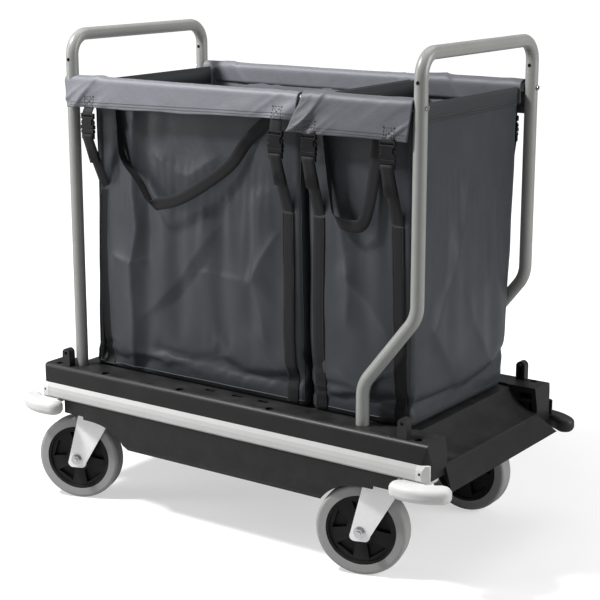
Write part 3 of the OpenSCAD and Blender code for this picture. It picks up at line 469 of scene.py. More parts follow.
def grid_mesh(name, points, uv, closed=False, smooth=True):
    """Mesh of a grid of points [i][j], closed round i if asked.

    uv holds metres for each point, with one more i when closed.
    """
    ni, nj = points.shape[:2]
    mesh = bpy.data.meshes.new(name)
    spans = ni if closed else ni - 1
    faces, corners_uv = [], []
    for i in range(spans):
        for j in range(nj - 1):
            k = (i + 1) % ni
            faces.append((i * nj + j, k * nj + j, k * nj + j + 1, i * nj + j + 1))
            corners_uv += [uv[i][j], uv[i + 1][j], uv[i + 1][j + 1], uv[i][j + 1]]
    mesh.from_pydata(points.reshape(-1, 3).tolist(), [], faces)
    layer = mesh.uv_layers.new(name="UVMap")
    layer.data.foreach_set("uv", np.array(corners_uv, np.float32).ravel())
    mesh.polygons.foreach_set("use_smooth", [smooth] * len(faces))
    return mesh


def grid_uv(points, closed=False):
    """Distances along both ways of a grid, in metres, as UVs."""
    ring = np.concatenate([points, points[:1]], 0) if closed else points
    u = np.concatenate([[0], np.cumsum(np.linalg.norm(np.diff(ring, axis=0), axis=2).mean(1))])
    v = np.concatenate([[0], np.cumsum(np.linalg.norm(np.diff(ring, axis=1), axis=2).mean(0))])
    return np.stack(np.meshgrid(u, v, indexing="ij"), -1)


def smooth_step(t):
    t = np.clip(t, 0, 1)
    return t * t * (3 - 2 * t)


def ease(x, low, high):
    return smooth_step((np.asarray(x, float) - low) / (high - low))


def solidify(piece, thickness, offset=0.0):
    wall = piece.modifiers.new("wall", "SOLIDIFY")
    wall.thickness, wall.offset, wall.use_even_offset = thickness, offset, False
    return bake_modifiers(piece)


def wander(points, scale, seed):
    """Smooth noise in -1..1 at points, from a fixed seed."""
    shift = Vector((seed * 7.31, seed * 3.17, seed * 1.93))
    values = [noise.noise(Vector(p) * scale + shift) for p in points.reshape(-1, 3)]
    return np.array(values).reshape(points.shape[:-1])


# ---- the bags ----

rail_low, rail_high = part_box("bag_rail_front")
RAIL_Y = -(rail_low.y + rail_high.y) / 2
RAIL_Z = (rail_low.z + rail_high.z) / 2
RAIL_R = (rail_high.z - rail_low.z) / 2
IN_Y = RAIL_Y - RAIL_R - 1.2 * MM
OUT_Y = RAIL_Y + RAIL_R + 1.2 * MM
RIM_Z = RAIL_Z + RAIL_R + 1.0 * MM


class Bag:
    """One bag: its place from the frame, and the shape of its walls."""

    def __init__(self, name, lean_left, lean_right, base_half):
        self.name, self.body = name, f"{name}_bag_unit"
        low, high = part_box(f"{name}_bag")
        self.x0, self.x1, self.floor = low.x, high.x, low.z + 0.5 * MM
        self.lean_left, self.lean_right, self.base_half = lean_left, lean_right, base_half
        self.folds = []

    def sides(self, z):
        """Left x, right x and half width of the wall at height z, before any folds."""
        down = np.clip((RIM_Z - z) / (RIM_Z - self.floor), 0, 1)
        left = self.x0 + self.lean_left(down)
        right = self.x1 - self.lean_right(down)
        half = IN_Y - (IN_Y - self.base_half) * down
        return left, right, half

    def outline(self, z, count):
        """Rounded rectangle at height z, from the front left corner round by the front.

        Gives count points and their outward directions.
        """
        left, right, half = self.sides(z)
        r = CORNER_R
        wide, deep = right - left - 2 * r, 2 * half - 2 * r
        arc = r * math.pi / 2
        lengths = [wide, arc, deep, arc, wide, arc, deep, arc]
        s = np.linspace(0, sum(lengths), count, endpoint=False)
        points, normals = np.zeros((count, 2)), np.zeros((count, 2))
        starts = np.concatenate([[0], np.cumsum(lengths)])
        runs = [
            ((left + r, -half), (1, 0)), ((right - r, -half + r), -90),
            ((right, -half + r), (0, 1)), ((right - r, half - r), 0),
            ((right - r, half), (-1, 0)), ((left + r, half - r), 90),
            ((left, half - r), (0, -1)), ((left + r, -half + r), 180),
        ]
        for n, (origin, way) in enumerate(runs):
            inside = (s >= starts[n]) & (s < starts[n + 1])
            t = s[inside] - starts[n]
            if isinstance(way, tuple):
                points[inside] = np.array(origin) + t[:, None] * np.array(way)
                normals[inside] = (way[1], -way[0])
            else:
                a = math.radians(way) + t / r
                normals[inside] = np.stack([np.cos(a), np.sin(a)], 1)
                points[inside] = np.array(origin) + r * normals[inside]
        return points, normals

    def wall_grid(self, step, folded=True):
        """Wall and base, ring by ring from the middle of the base to the top hem, step apart."""
        left, right, half = self.sides(self.floor)
        round_about = 2 * ((right - left) + 2 * half)
        count = int(round_about / step)
        middle = np.array([(left + right) / 2, 0.0])
        rings = []
        for share in (0.0, 0.25, 0.5, 0.72, 0.9):
            plan, _ = self.outline(self.floor, count)
            plan = middle + (plan - middle) * max(share, 0.004)
            rings.append(np.column_stack([plan, np.full(count, self.floor)]))
        for turn in (15, 45, 75):
            a = math.radians(turn)
            z = self.floor + BASE_R * (1 - math.cos(a))
            plan, out = self.outline(z, count)
            plan = plan - out * BASE_R * (1 - math.sin(a))
            rings.append(np.column_stack([plan, np.full(count, z)]))
        top = RAIL_Z
        levels = np.linspace(self.floor + BASE_R, top, int((top - self.floor) / step))
        for z in levels:
            plan, out = self.outline(z, count)
            push = self.push(plan, out, np.full(count, z)) if folded else np.zeros(count)
            rings.append(np.column_stack([plan + out * push[:, None], np.full(count, z)]))
        return np.stack(rings, 1)

    def push(self, plan, out, z):
        """How far each wall point stands out of the plain wall."""
        drop = np.clip((RAIL_Z - z) / (RAIL_Z - self.floor), 0, 1)
        held = ease(drop, 0.02, 0.12) * (1 - ease(drop, 0.95, 1.0) * 0.8)
        total = np.zeros(len(plan))
        for side, normal in (("front", (0, -1)), ("rear", (0, 1)), ("left", (-1, 0)), ("right", (1, 0))):
            facing = np.clip(out @ np.array(normal), 0, 1) ** 2
            along = plan[:, 0] if normal[0] == 0 else plan[:, 1]
            total += facing * sum(fold(along, z) for where, fold in self.folds if where == side)
        place = np.column_stack([plan, z])
        drape = wander(place * np.array([1.0, 1.0, 0.45]), 9.0, 3.0 + len(self.name))
        small = wander(place * np.array([1.0, 1.0, 0.8]), 24.0, 8.0 + len(self.name))
        return held * (total + 3.2 * MM * drape + 0.9 * MM * small)


def crease(line, height, before, after, fade=0.06):
    """A fold along a line of (along, z) points, going from the first to the last.

    It is height tall at the line, and falls off over before on the left and after on the right.
    """
    line = np.array(line, float)
    lengths = np.linalg.norm(np.diff(line, axis=0), axis=1)
    starts = np.concatenate([[0], np.cumsum(lengths)])

    def fold(along, z):
        spot = np.stack([along, z], -1)
        best = np.full(len(spot), 9.0)
        signed, run = np.zeros(len(spot)), np.zeros(len(spot))
        for a, b, length, start in zip(line[:-1], line[1:], lengths, starts):
            way = (b - a) / length
            t = np.clip((spot - a) @ way, 0, length)
            gap = spot - (a + t[:, None] * way)
            far = np.linalg.norm(gap, axis=1)
            nearer = far < best
            side = np.sign(way[0] * gap[:, 1] - way[1] * gap[:, 0])
            best = np.where(nearer, far, best)
            signed = np.where(nearer, side * far, signed)
            run = np.where(nearer, start + t, run)
        shape = np.where(signed > 0, np.exp(-signed / before), np.exp(signed / after))
        ends = ease(run, 0.0, fade) * (1 - ease(run, starts[-1] - fade, starts[-1]))
        return height * shape * ends

    return fold


def side_strip(line, edge, height, fall):
    """A wall's outer strip, folded back from a line of (x, z) points to its edge at x = edge.

    There is a ridge along the line and a groove beside it.
    """
    line = np.array(sorted(line, key=lambda p: p[1]), float)

    def fold(along, z):
        x = np.interp(z, line[:, 1], line[:, 0])
        d = (along - x) * np.sign(x[0] - edge)
        strip = height - (height + fall) * np.clip(-d / abs(x - edge), 0, 1)
        inner = height * np.exp(-d / 0.012) - 0.55 * height * np.exp(-(((d - 0.030) / 0.020) ** 2))
        return np.where(d < 0, strip, inner)

    return fold


def swell(centre, size, height):
    """A soft bulge on a wall, centre and size as (along, z)."""

    def fold(along, z):
        d = ((along - centre[0]) / size[0]) ** 2 + ((z - centre[1]) / size[1]) ** 2
        return height * np.exp(-d)

    return fold


large = Bag(
    "large",
    lean_left=lambda down: 0.029 - 0.032 * ease(down, 0.3, 0.95),
    lean_right=lambda down: 0.004,
    base_half=0.199,
)
small = Bag(
    "small",
    lean_left=lambda down: 0.004,
    lean_right=lambda down: 0.006 + 0.010 * down,
    base_half=0.199,
)

large.folds = [
    ("front", side_strip(
        [(-0.265, 0.935), (-0.274, 0.869), (-0.281, 0.752), (-0.268, 0.675), (-0.286, 0.597),
         (-0.289, 0.439), (-0.300, 0.33)],
        -0.41, 9 * MM, 20 * MM,
    )),
    ("front", crease([(-0.375, 0.603), (-0.292, 0.590), (-0.235, 0.603)], 7 * MM, 12 * MM, 45 * MM, 0.03)),
    ("front", crease(
        [(0.046, 0.80), (0.057, 0.770), (0.053, 0.604), (0.085, 0.44)], 8 * MM, 60 * MM, 14 * MM, 0.05,
    )),
    ("front", crease(
        [(-0.150, 0.597), (-0.116, 0.594), (0.037, 0.587), (0.092, 0.620)], 6 * MM, 14 * MM, 60 * MM, 0.04,
    )),
    ("front", crease(
        [(0.122, 0.715), (0.115, 0.702), (0.056, 0.612), (0.03, 0.575)], 6 * MM, 20 * MM, 12 * MM, 0.03,
    )),
    ("front", crease(
        [(-0.02, 0.72), (-0.080, 0.655), (-0.150, 0.575), (-0.220, 0.505), (-0.300, 0.445)],
        10 * MM, 26 * MM, 90 * MM, 0.08,
    )),
    ("front", crease(
        [(-0.04, 0.66), (-0.105, 0.585), (-0.180, 0.510), (-0.26, 0.455)], -9 * MM, 40 * MM, 40 * MM, 0.10,
    )),
    ("front", crease(
        [(-0.23, 0.855), (-0.165, 0.808), (-0.12, 0.80), (-0.02, 0.86)], 6 * MM, 26 * MM, 30 * MM, 0.05,
    )),
    ("front", crease([(0.02, 0.50), (0.09, 0.42), (0.14, 0.36)], 6 * MM, 25 * MM, 50 * MM, 0.05)),
    ("front", crease(
        [(-0.24, 0.40), (-0.10, 0.385), (0.02, 0.43)], 6 * MM, 30 * MM, 50 * MM, 0.06)),
    ("left", swell((0.0, 0.45), (0.16, 0.14), 8 * MM,
    )),
    ("left", crease([(-0.14, 0.80), (0.02, 0.62), (0.15, 0.50)], 8 * MM, 30 * MM, 60 * MM, 0.08)),
    ("left", crease([(0.12, 0.86), (0.05, 0.70), (-0.10, 0.60)], 6 * MM, 40 * MM, 30 * MM, 0.08)),
    ("rear", crease([(0.10, 0.92), (0.085, 0.70), (0.06, 0.45)], 8 * MM, 60 * MM, 16 * MM, 0.08)),
    ("rear", crease([(-0.28, 0.48), (-0.12, 0.62), (-0.02, 0.74)], 9 * MM, 30 * MM, 80 * MM, 0.08)),
    ("rear", crease([(-0.36, 0.62), (-0.26, 0.60), (-0.14, 0.61)], 6 * MM, 14 * MM, 50 * MM, 0.04)),
]
small.folds = [
    ("front", crease(
        [(0.262, 0.90), (0.270, 0.78), (0.300, 0.62), (0.29, 0.50)], 8 * MM, 16 * MM, 50 * MM, 0.06,
    )),
    ("front", crease([(0.41, 0.50), (0.35, 0.58), (0.26, 0.66)], 7 * MM, 20 * MM, 50 * MM, 0.05)),
    ("front", crease([(0.24, 0.43), (0.33, 0.40), (0.41, 0.44)], 6 * MM, 25 * MM, 40 * MM, 0.05)),
    ("right", crease(
        [(-0.16, 0.47), (-0.10, 0.57), (-0.02, 0.72), (0.0, 0.85)], 7 * MM, 26 * MM, 70 * MM, 0.08,
    )),
    ("right", crease([(-0.03, 0.38), (-0.09, 0.47), (-0.17, 0.56)], 7 * MM, 20 * MM, 60 * MM, 0.06)),
    ("right", crease(
        [(0.18, 0.36), (0.11, 0.41), (0.02, 0.52), (-0.02, 0.62)], 6 * MM, 20 * MM, 60 * MM, 0.08)),
    ("right", swell((0.04, 0.62), (0.12, 0.16), 6 * MM,
    )),
    ("rear", crease([(0.36, 0.90), (0.35, 0.72), (0.33, 0.55)], 7 * MM, 50 * MM, 14 * MM, 0.08)),
    ("rear", crease([(0.24, 0.44), (0.31, 0.52), (0.39, 0.62)], 7 * MM, 18 * MM, 60 * MM, 0.06)),
]


def surface_of(mesh):
    """A tree of the mesh's faces that rays can be cast at."""
    return BVHTree.FromPolygons([v.co for v in mesh.vertices], [tuple(p.vertices) for p in mesh.polygons])


# Rings of the base in a wall grid, then the settling: its frames, spare cloth and greatest move
BASE_RINGS = 8
SETTLE_FRAMES = 22
SPARE_CLOTH = 0.016
MOST_MOVE = 11 * MM


def settle(bag):
    """How a wall's spare cloth sags and crumples, as a grid of moves on a coarse wall."""
    points = bag.wall_grid(COARSE_GRID, folded=False)
    sides = points[:, BASE_RINGS:]
    mesh = grid_mesh("settling", sides, grid_uv(sides, True), closed=True)
    place = sides.reshape(-1, 3)
    drape = wander(place * np.array([1.0, 1.0, 0.7]), 11.0, 4.0 + len(bag.name))
    out = place[:, :2] - np.array([(bag.x0 + bag.x1) / 2, 0.0])
    out = out / np.linalg.norm(out, axis=1)[:, None]
    nudged = place.copy()
    nudged[:, :2] += out * (drape * 1.5 * MM)[:, None]
    mesh.vertices.foreach_set("co", nudged.ravel())
    free = ease(place[:, 2], bag.floor + BASE_R, bag.floor + 0.06)
    free = free * (1 - ease(place[:, 2], RAIL_Z - 0.30, RAIL_Z - 0.11))
    piece = bpy.data.objects.new("settling", mesh)
    bpy.context.scene.collection.objects.link(piece)
    held = piece.vertex_groups.new(name="held")
    for index, share in enumerate(free):
        held.add([index], 1.0 - float(share), "REPLACE")
    cloth = piece.modifiers.new("cloth", "CLOTH")
    rules = cloth.settings
    rules.quality, rules.mass, rules.air_damping = 5, 0.25, 2.0
    rules.tension_stiffness = rules.compression_stiffness = 18.0
    rules.shear_stiffness, rules.bending_stiffness = 6.0, 1.5
    rules.vertex_group_mass, rules.pin_stiffness = "held", 1.0
    rules.shrink_min = -SPARE_CLOTH
    cloth.collision_settings.use_collision = cloth.collision_settings.use_self_collision = False
    cloth.point_cache.frame_start, cloth.point_cache.frame_end = 1, SETTLE_FRAMES
    for number in range(1, SETTLE_FRAMES + 1):
        bpy.context.scene.frame_set(number)
    settled = piece.evaluated_get(bpy.context.evaluated_depsgraph_get())
    moved = np.empty(len(mesh.vertices) * 3)
    settled.to_mesh().vertices.foreach_get("co", moved)
    settled.to_mesh_clear()
    bpy.data.objects.remove(piece)
    bpy.context.scene.frame_set(1)
    step = moved.reshape(-1, 3) - place
    far = np.linalg.norm(step, axis=1)
    step *= (MOST_MOVE * np.tanh(far / MOST_MOVE) / np.maximum(far, 1e-9))[:, None]
    return step.reshape(sides.shape)


def spread(values, count, axis, closed):
    """A grid's values read at count even places along an axis, by a smooth curve."""
    values = np.moveaxis(values, axis, 0)
    n = len(values)
    at = np.arange(count) * n / count if closed else np.linspace(0, n - 1, count)
    i = np.floor(at).astype(int)
    t = (at - i).reshape((-1,) + (1,) * (values.ndim - 1))
    picked = [np.take(values, i + k, axis=0, mode="wrap" if closed else "clip") for k in (-1, 0, 1, 2)]
    weights = [(1 - t) ** 3, 3 * t**3 - 6 * t**2 + 4, -3 * t**3 + 3 * t**2 + 3 * t + 1, t**3]
    return np.moveaxis(sum(w * p for w, p in zip(weights, picked)) / 6, 0, axis)


def make_walls(bag):
    points = bag.wall_grid(GRID)
    moves = spread(settle(bag), points.shape[0], 0, True)
    points[:, BASE_RINGS:] += spread(moves, points.shape[1] - BASE_RINGS, 1, False)
    mesh = grid_mesh(f"{bag.name}_bag_walls", points, grid_uv(points, True), closed=True)
    bm = bmesh.new()
    bm.from_mesh(mesh)
    middle = [v for v in bm.verts if v.index % points.shape[1] == 0]
    bmesh.ops.pointmerge(bm, verts=middle, merge_co=sum((v.co for v in middle), Vector()) / len(middle))
    bm.to_mesh(mesh)
    bm.free()
    bag.surface = surface_of(mesh)
    piece = add_piece(f"{bag.name}_bag_walls", mesh, None, bag.body)
    mesh.materials.append(FABRIC)
    mesh.materials.append(LINING)
    wall = piece.modifiers.new("wall", "SOLIDIFY")
    wall.thickness, wall.offset = CLOTH_T, -1.0
    wall.material_offset = 1
    wall.material_offset_rim = 0
    bake_modifiers(piece)
    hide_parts(f"{bag.name}_bag")
    return piece


def landed(surface, origin, way, near):
    """Where a ray meets a surface, or else its point nearest to near, and the normal facing the ray."""
    hit, normal, _, _ = surface.ray_cast(origin, way)
    if hit is None:
        hit, normal, _, _ = surface.find_nearest(near)
    return hit, -normal if normal.dot(way) > 0 else normal


def on_wall(bag, x, z, side, lift=0.0):
    """Point of the front or rear wall at x, z, lifted off it, and its outward normal."""
    near = Vector((x, side * RAIL_Y, z))
    hit, normal = landed(bag.surface, Vector((x, side * 0.5, z)), Vector((0, -side, 0)), near)
    return hit + normal * lift, normal


def on_end(bag, y, z, side, lift=0.0):
    """Point of the left or right end wall at y, z, lifted off it, and its outward normal."""
    origin = Vector((side * 1.0 + (bag.x0 + bag.x1) / 2, y, z))
    near = Vector((bag.x1 if side > 0 else bag.x0, y, z))
    hit, normal = landed(bag.surface, origin, Vector((-side, 0, 0)), near)
    return hit + normal * lift, normal


# ---- cuffs over the rails ----


# How far a cuff stands off its rail, laps down inside the bag and flares at its lower edge
CUFF_CLEAR = 2.0 * MM
CUFF_LAP = 34 * MM
CUFF_FLARE = 5 * MM
# Spacing of its stations, and how far from an end its puckers reach
CUFF_STEP = 3.5 * MM
END_REACH = 0.085
# The crease across the low end: where it starts, how it leans and how high it stands
CREASE_X, CREASE_LEAN, CREASE_H = 0.135, 0.9, 7 * MM


def cuff_profile(drop, flare):
    """The cuff's path in (y, z), from inside the bag over the rail and down outside, and its normals."""
    r = RAIL_R + CUFF_CLEAR
    path, out = [], []
    for z in np.linspace(RAIL_Z - CUFF_LAP, RAIL_Z, 6)[:-1]:
        path.append((RAIL_Y - r, z))
        out.append((-1.0, 0.0))
    for a in np.radians(np.linspace(180, 0, 12)):
        path.append((RAIL_Y + r * math.cos(a), RAIL_Z + r * math.sin(a)))
        out.append((math.cos(a), math.sin(a)))
    for t in np.linspace(0, 1, 18)[1:]:
        path.append((RAIL_Y + r + flare * t, RAIL_Z - drop * t))
        out.append((1.0, 0.0))
    return np.array(path), np.array(out)


class Cuff:
    """A cuff's place: its ends, how far it hangs below the rail at each end, and its layer off the rail.

    slant moves the top of its low end, tuck the foot of its high end, and wrap lifts its low end.
    """

    def __init__(self, x_low, x_high, layer, drops, seed, slant=0.0, tuck=0.0, wrap=0.0):
        self.x_low, self.x_high, self.layer, self.drops, self.seed = x_low, x_high, layer, drops, seed
        self.slant, self.tuck, self.wrap = slant, tuck, wrap

    def edge(self, x):
        """Height of the lower edge at x."""
        t = (x - self.x_low) / (self.x_high - self.x_low)
        return RAIL_Z - (self.drops[0] + (self.drops[1] - self.drops[0]) * t)


def crease_share(hang):
    """How strong a cuff's crease is: full where it hangs, under half over the rail."""
    return 0.45 + 0.55 * smooth_step(hang * 2)


def make_cuff(bag, side, cuff):
    """One cuff, laid over its rail. Its ends pucker and its edge waves."""
    span = cuff.x_high - cuff.x_low
    count = int(span / CUFF_STEP)
    t = np.linspace(0, 1, count)
    path, out = cuff_profile(1.0, CUFF_FLARE)
    n = len(path)
    fall = np.clip((RAIL_Z - path[:, 1]), 0, None) * (out[:, 0] > 0.5)
    hang = np.clip(fall, 0, 1)
    over = np.concatenate([[0], np.cumsum(np.linalg.norm(np.diff(path, axis=0), axis=1) * (hang[1:] == 0))])
    x = cuff.x_low + span * t
    drop = cuff.drops[0] + (cuff.drops[1] - cuff.drops[0]) * t
    low_end = np.exp(-(t * span / END_REACH) ** 2)
    high_end = np.exp(-((1 - t) * span / END_REACH) ** 2)
    points = np.zeros((count, n, 3))
    for j in range(n):
        down = hang[j] * drop
        run = over[j] + down
        place = np.column_stack([x + run * 0.9, np.full(count, side * 0.2), run * 0.5])
        other = np.column_stack([x - run * 1.2, np.full(count, side * 0.5), run * 0.4])
        loose = wander(place, 12.0, cuff.seed) * 2.6 * MM + wander(other, 30.0, cuff.seed + 5) * 1.3 * MM
        across = np.column_stack([x * 1.0 + run * 1.4, run * 0.2, x * 0])
        pucker = 1 - np.abs(wander(across, 22.0, cuff.seed + 3))
        puckered = (low_end + high_end) * (pucker**3 - 0.4) * 6 * MM
        slack = 0.3 + 0.9 * smooth_step(hang[j] * 1.6)
        lift = np.maximum(loose * slack + puckered * (0.35 + hang[j]), -0.4 * MM) + cuff.layer + 0.6 * MM
        lift = lift + (low_end * hang[j] * 4 * MM) * cuff.wrap
        past = x - cuff.x_low - (CREASE_X - CREASE_LEAN * run)
        fall_off = np.exp(-np.abs(past) / np.where(past > 0, 0.006, 0.035))
        lift = lift + CREASE_H * fall_off * crease_share(hang[j])
        wave = wander(np.column_stack([x, x * 0, x * 0]), 9.0, cuff.seed + 9) * 4 * MM * hang[j]
        y = path[j, 0] + out[j, 0] * lift
        z = np.where(hang[j] > 0, RAIL_Z - down + wave, path[j, 1] + out[j, 1] * lift)
        slant = cuff.slant * np.exp(-(t * span / 0.05) ** 2) * (1 - hang[j])
        tuck = cuff.tuck * np.exp(-((1 - t) * span / 0.05) ** 2) * hang[j]
        points[:, j] = np.column_stack([x + slant - tuck, side * y, z])
    if side == FRONT:
        points = points[::-1]
    mesh = grid_mesh(f"{bag.name}_bag_cuff_{'front' if side == FRONT else 'rear'}", points, grid_uv(points))
    bag.cuffs[side] = surface_of(mesh)
    # The small bag's cuffs take the darker copy of the lining, which is painted shade
    piece = add_piece(mesh.name, mesh, LINING if bag is large else SHADED_SMALL_LINING, bag.body)
    solidify(piece, CLOTH_T * 1.4, 0.0)
    return piece


def on_cuff(bag, x, z, side, lift=0.0):
    origin = Vector((x, side * 0.5, z))
    hit, normal, _, _ = bag.cuffs[side].ray_cast(origin, Vector((0, -side, 0)))
    if hit is None:
        hit, normal = Vector((x, side * (OUT_Y + 4 * MM), z)), Vector((0, side, 0))
    if normal.y * side < 0:
        normal = -normal
    return hit + normal * lift, normal


# ---- straps, buckles and carry handles ----


def ribbon(path, across, width, thick):
    """A flat band along a path: grid of stations by section, and the section's across distances."""
    path, across = np.array(path, float), np.array(across, float)
    way = np.gradient(path, axis=0)
    way /= np.linalg.norm(way, axis=1)[:, None]
    across = across - (across * way).sum(1)[:, None] * way
    across /= np.linalg.norm(across, axis=1)[:, None]
    out = np.cross(way, across)
    w, t = width / 2, thick / 2
    section = [
        (-w, 0), (-w + t, t), (-w / 3, t), (w / 3, t), (w - t, t),
        (w, 0), (w - t, -t), (w / 3, -t), (-w / 3, -t), (-w + t, -t),
    ]
    points = np.stack([path + across * a + out * b for a, b in section], 1)
    return points, np.array([a for a, _ in section])


def ribbon_into(bm, path, across, width, thick):
    """Adds a closed flat band along a path to a bmesh, with UVs in metres."""
    points, offsets = ribbon(path, across, width, thick)
    layer = bm.loops.layers.uv.verify()
    n, m = points.shape[:2]
    steps = np.linalg.norm(np.diff(np.array(path, float), axis=0), axis=1)
    lengths = np.concatenate([[0], np.cumsum(steps)])
    verts = [[bm.verts.new(p) for p in row] for row in points]
    for i in range(n - 1):
        for j in range(m):
            k = (j + 1) % m
            face = bm.faces.new((verts[i][j], verts[i][k], verts[i + 1][k], verts[i + 1][j]))
            face.smooth = True
            for loop, (a, b) in zip(face.loops, ((i, j), (i, k), (i + 1, k), (i + 1, j))):
                loop[layer].uv = (offsets[b], lengths[a])
    for row in (verts[0], verts[-1][::-1]):
        face = bm.faces.new(row[::-1])
        for loop in face.loops:
            loop[layer].uv = (0.0, 0.0)


def finish_bmesh(bm, name):
    bmesh.ops.recalc_face_normals(bm, faces=bm.faces)
    mesh = bpy.data.meshes.new(name)
    bm.to_mesh(mesh)
    bm.free()
    return mesh


def spline(points, count):
    """Catmull-Rom curve through points."""
    p = np.array(points, float)
    p = np.vstack([2 * p[0] - p[1], p, 2 * p[-1] - p[-2]])
    spans = len(p) - 3
    made = []
    for u in np.linspace(0, spans, count):
        i = min(int(u), spans - 1)
        t = u - i
        a, b, c, d = p[i : i + 4]
        bend, twist = 2 * a - 5 * b + 4 * c - d, 3 * b - a - 3 * c + d
        made.append(0.5 * (2 * b + (c - a) * t + bend * t**2 + twist * t**3))
    return np.array(made)


TAB_H = 28 * MM
BUCKLE_W, BUCKLE_H, BUCKLE_D = 37 * MM, 36 * MM, 9 * MM
CLIP_H = 24 * MM
TAIL_L = 64 * MM
# The first height below the clip at which a strap lies on the wall
STRAP_REACH = 115 * MM
# Heights off the cloth: a tab behind its cuff, a strap on the wall and a stitch on a cuff
TAB_LIFT, STRAP_LIFT, SEAM_LIFT = -2.4 * MM, 1.4 * MM, 1.4 * MM


def strap_places(bag):
    """Middle x of the bag's two straps, from their solids."""
    low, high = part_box(f"{bag.name}_bag_webbing")
    return low.x + 16 * MM, high.x - 16 * MM


def drift(lean, down):
    """How far a strap has moved along the wall at a distance down from its clip."""
    return lean * ease(down, 0.0, 0.35)


def make_straps(bag):
    """Tabs on the cuffs, and the long straps from the clips to the floor of the bag."""
    bm = bmesh.new()
    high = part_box(f"{bag.name}_bag_buckles")[1]
    bag.buckle_top = high.z
    bag.buckle_y = high.y - 4 * MM
    for side in (FRONT, REAR):
        for number, x in enumerate(strap_places(bag)):
            edge = bag.cuff[side].edge(x)
            lean = -8 * MM if bag is large and number == 0 else 4 * MM * (1 if number else -1)
            levels = np.linspace(edge + TAB_H, edge + 3 * MM, 5)
            path = [on_cuff(bag, x, z, side, TAB_LIFT)[0] for z in levels]
            path.append(Vector((x, side * (bag.buckle_y + 1 * MM), bag.buckle_top + 2 * MM)))
            path.append(Vector((x, side * bag.buckle_y, bag.buckle_top - 8 * MM)))
            curve = spline(path, 22)
            ribbon_into(bm, curve, [(1, 0, 0)] * len(curve), WEB_W, WEB_T)
            clip_z = bag.buckle_top - BUCKLE_H - CLIP_H + 8 * MM
            path = [
                Vector((x, side * bag.buckle_y, clip_z + 8 * MM)),
                Vector((x, side * (bag.buckle_y - 1 * MM), clip_z - 8 * MM)),
            ]
            levels = np.linspace(clip_z - STRAP_REACH, bag.floor + 8 * MM, 44)
            for z in levels:
                path.append(on_wall(bag, x + drift(lean, clip_z - z), z, side, STRAP_LIFT)[0])
            curve = spline(path, 150)
            ribbon_into(bm, curve, [(1, 0, 0)] * len(curve), WEB_W, WEB_T)
            # The strap's spare end, doubled back below the clip
            tail = curve[curve[:, 2] > clip_z - TAIL_L][2:] + np.array([0, side * 2.2 * MM, 0])
            loose = np.linspace(0, 1, len(tail)) ** 3
            tail[:, 1] += side * 5 * MM * loose
            ribbon_into(bm, tail, [(1, 0, 0)] * len(tail), WEB_W, WEB_T)
            bag.strap_lines.append((side, x, lean, clip_z))
    piece = add_piece(f"{bag.name}_bag_straps", finish_bmesh(bm, "straps"), WEBBING, bag.body)
    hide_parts(f"{bag.name}_bag_webbing")
    return piece


def plate(bm, outline, thick, place, side):
    """A flat moulded plate: outline in (x, z) about place, thick along Y and centred."""
    faces = []
    for y in (-thick / 2, thick / 2):
        faces.append([bm.verts.new((place[0] + u, place[1] + y * side, place[2] + v)) for u, v in outline])
    bm.faces.new(faces[0])
    bm.faces.new(faces[1][::-1])
    n = len(outline)
    for i in range(n):
        k = (i + 1) % n
        bm.faces.new((faces[0][k], faces[0][i], faces[1][i], faces[1][k]))


def bevelled(bm, name, width):
    mesh = finish_bmesh(bm, name)
    piece = bpy.data.objects.new(name, mesh)
    bpy.context.scene.collection.objects.link(piece)
    bevel = piece.modifiers.new("edge", "BEVEL")
    bevel.width, bevel.segments, bevel.limit_method = width, 2, "ANGLE"
    bpy.context.view_layer.update()
    made = bpy.data.meshes.new_from_object(piece.evaluated_get(bpy.context.evaluated_depsgraph_get()))
    bpy.data.objects.remove(piece)
    made.polygons.foreach_set("use_smooth", [False] * len(made.polygons))
    return made


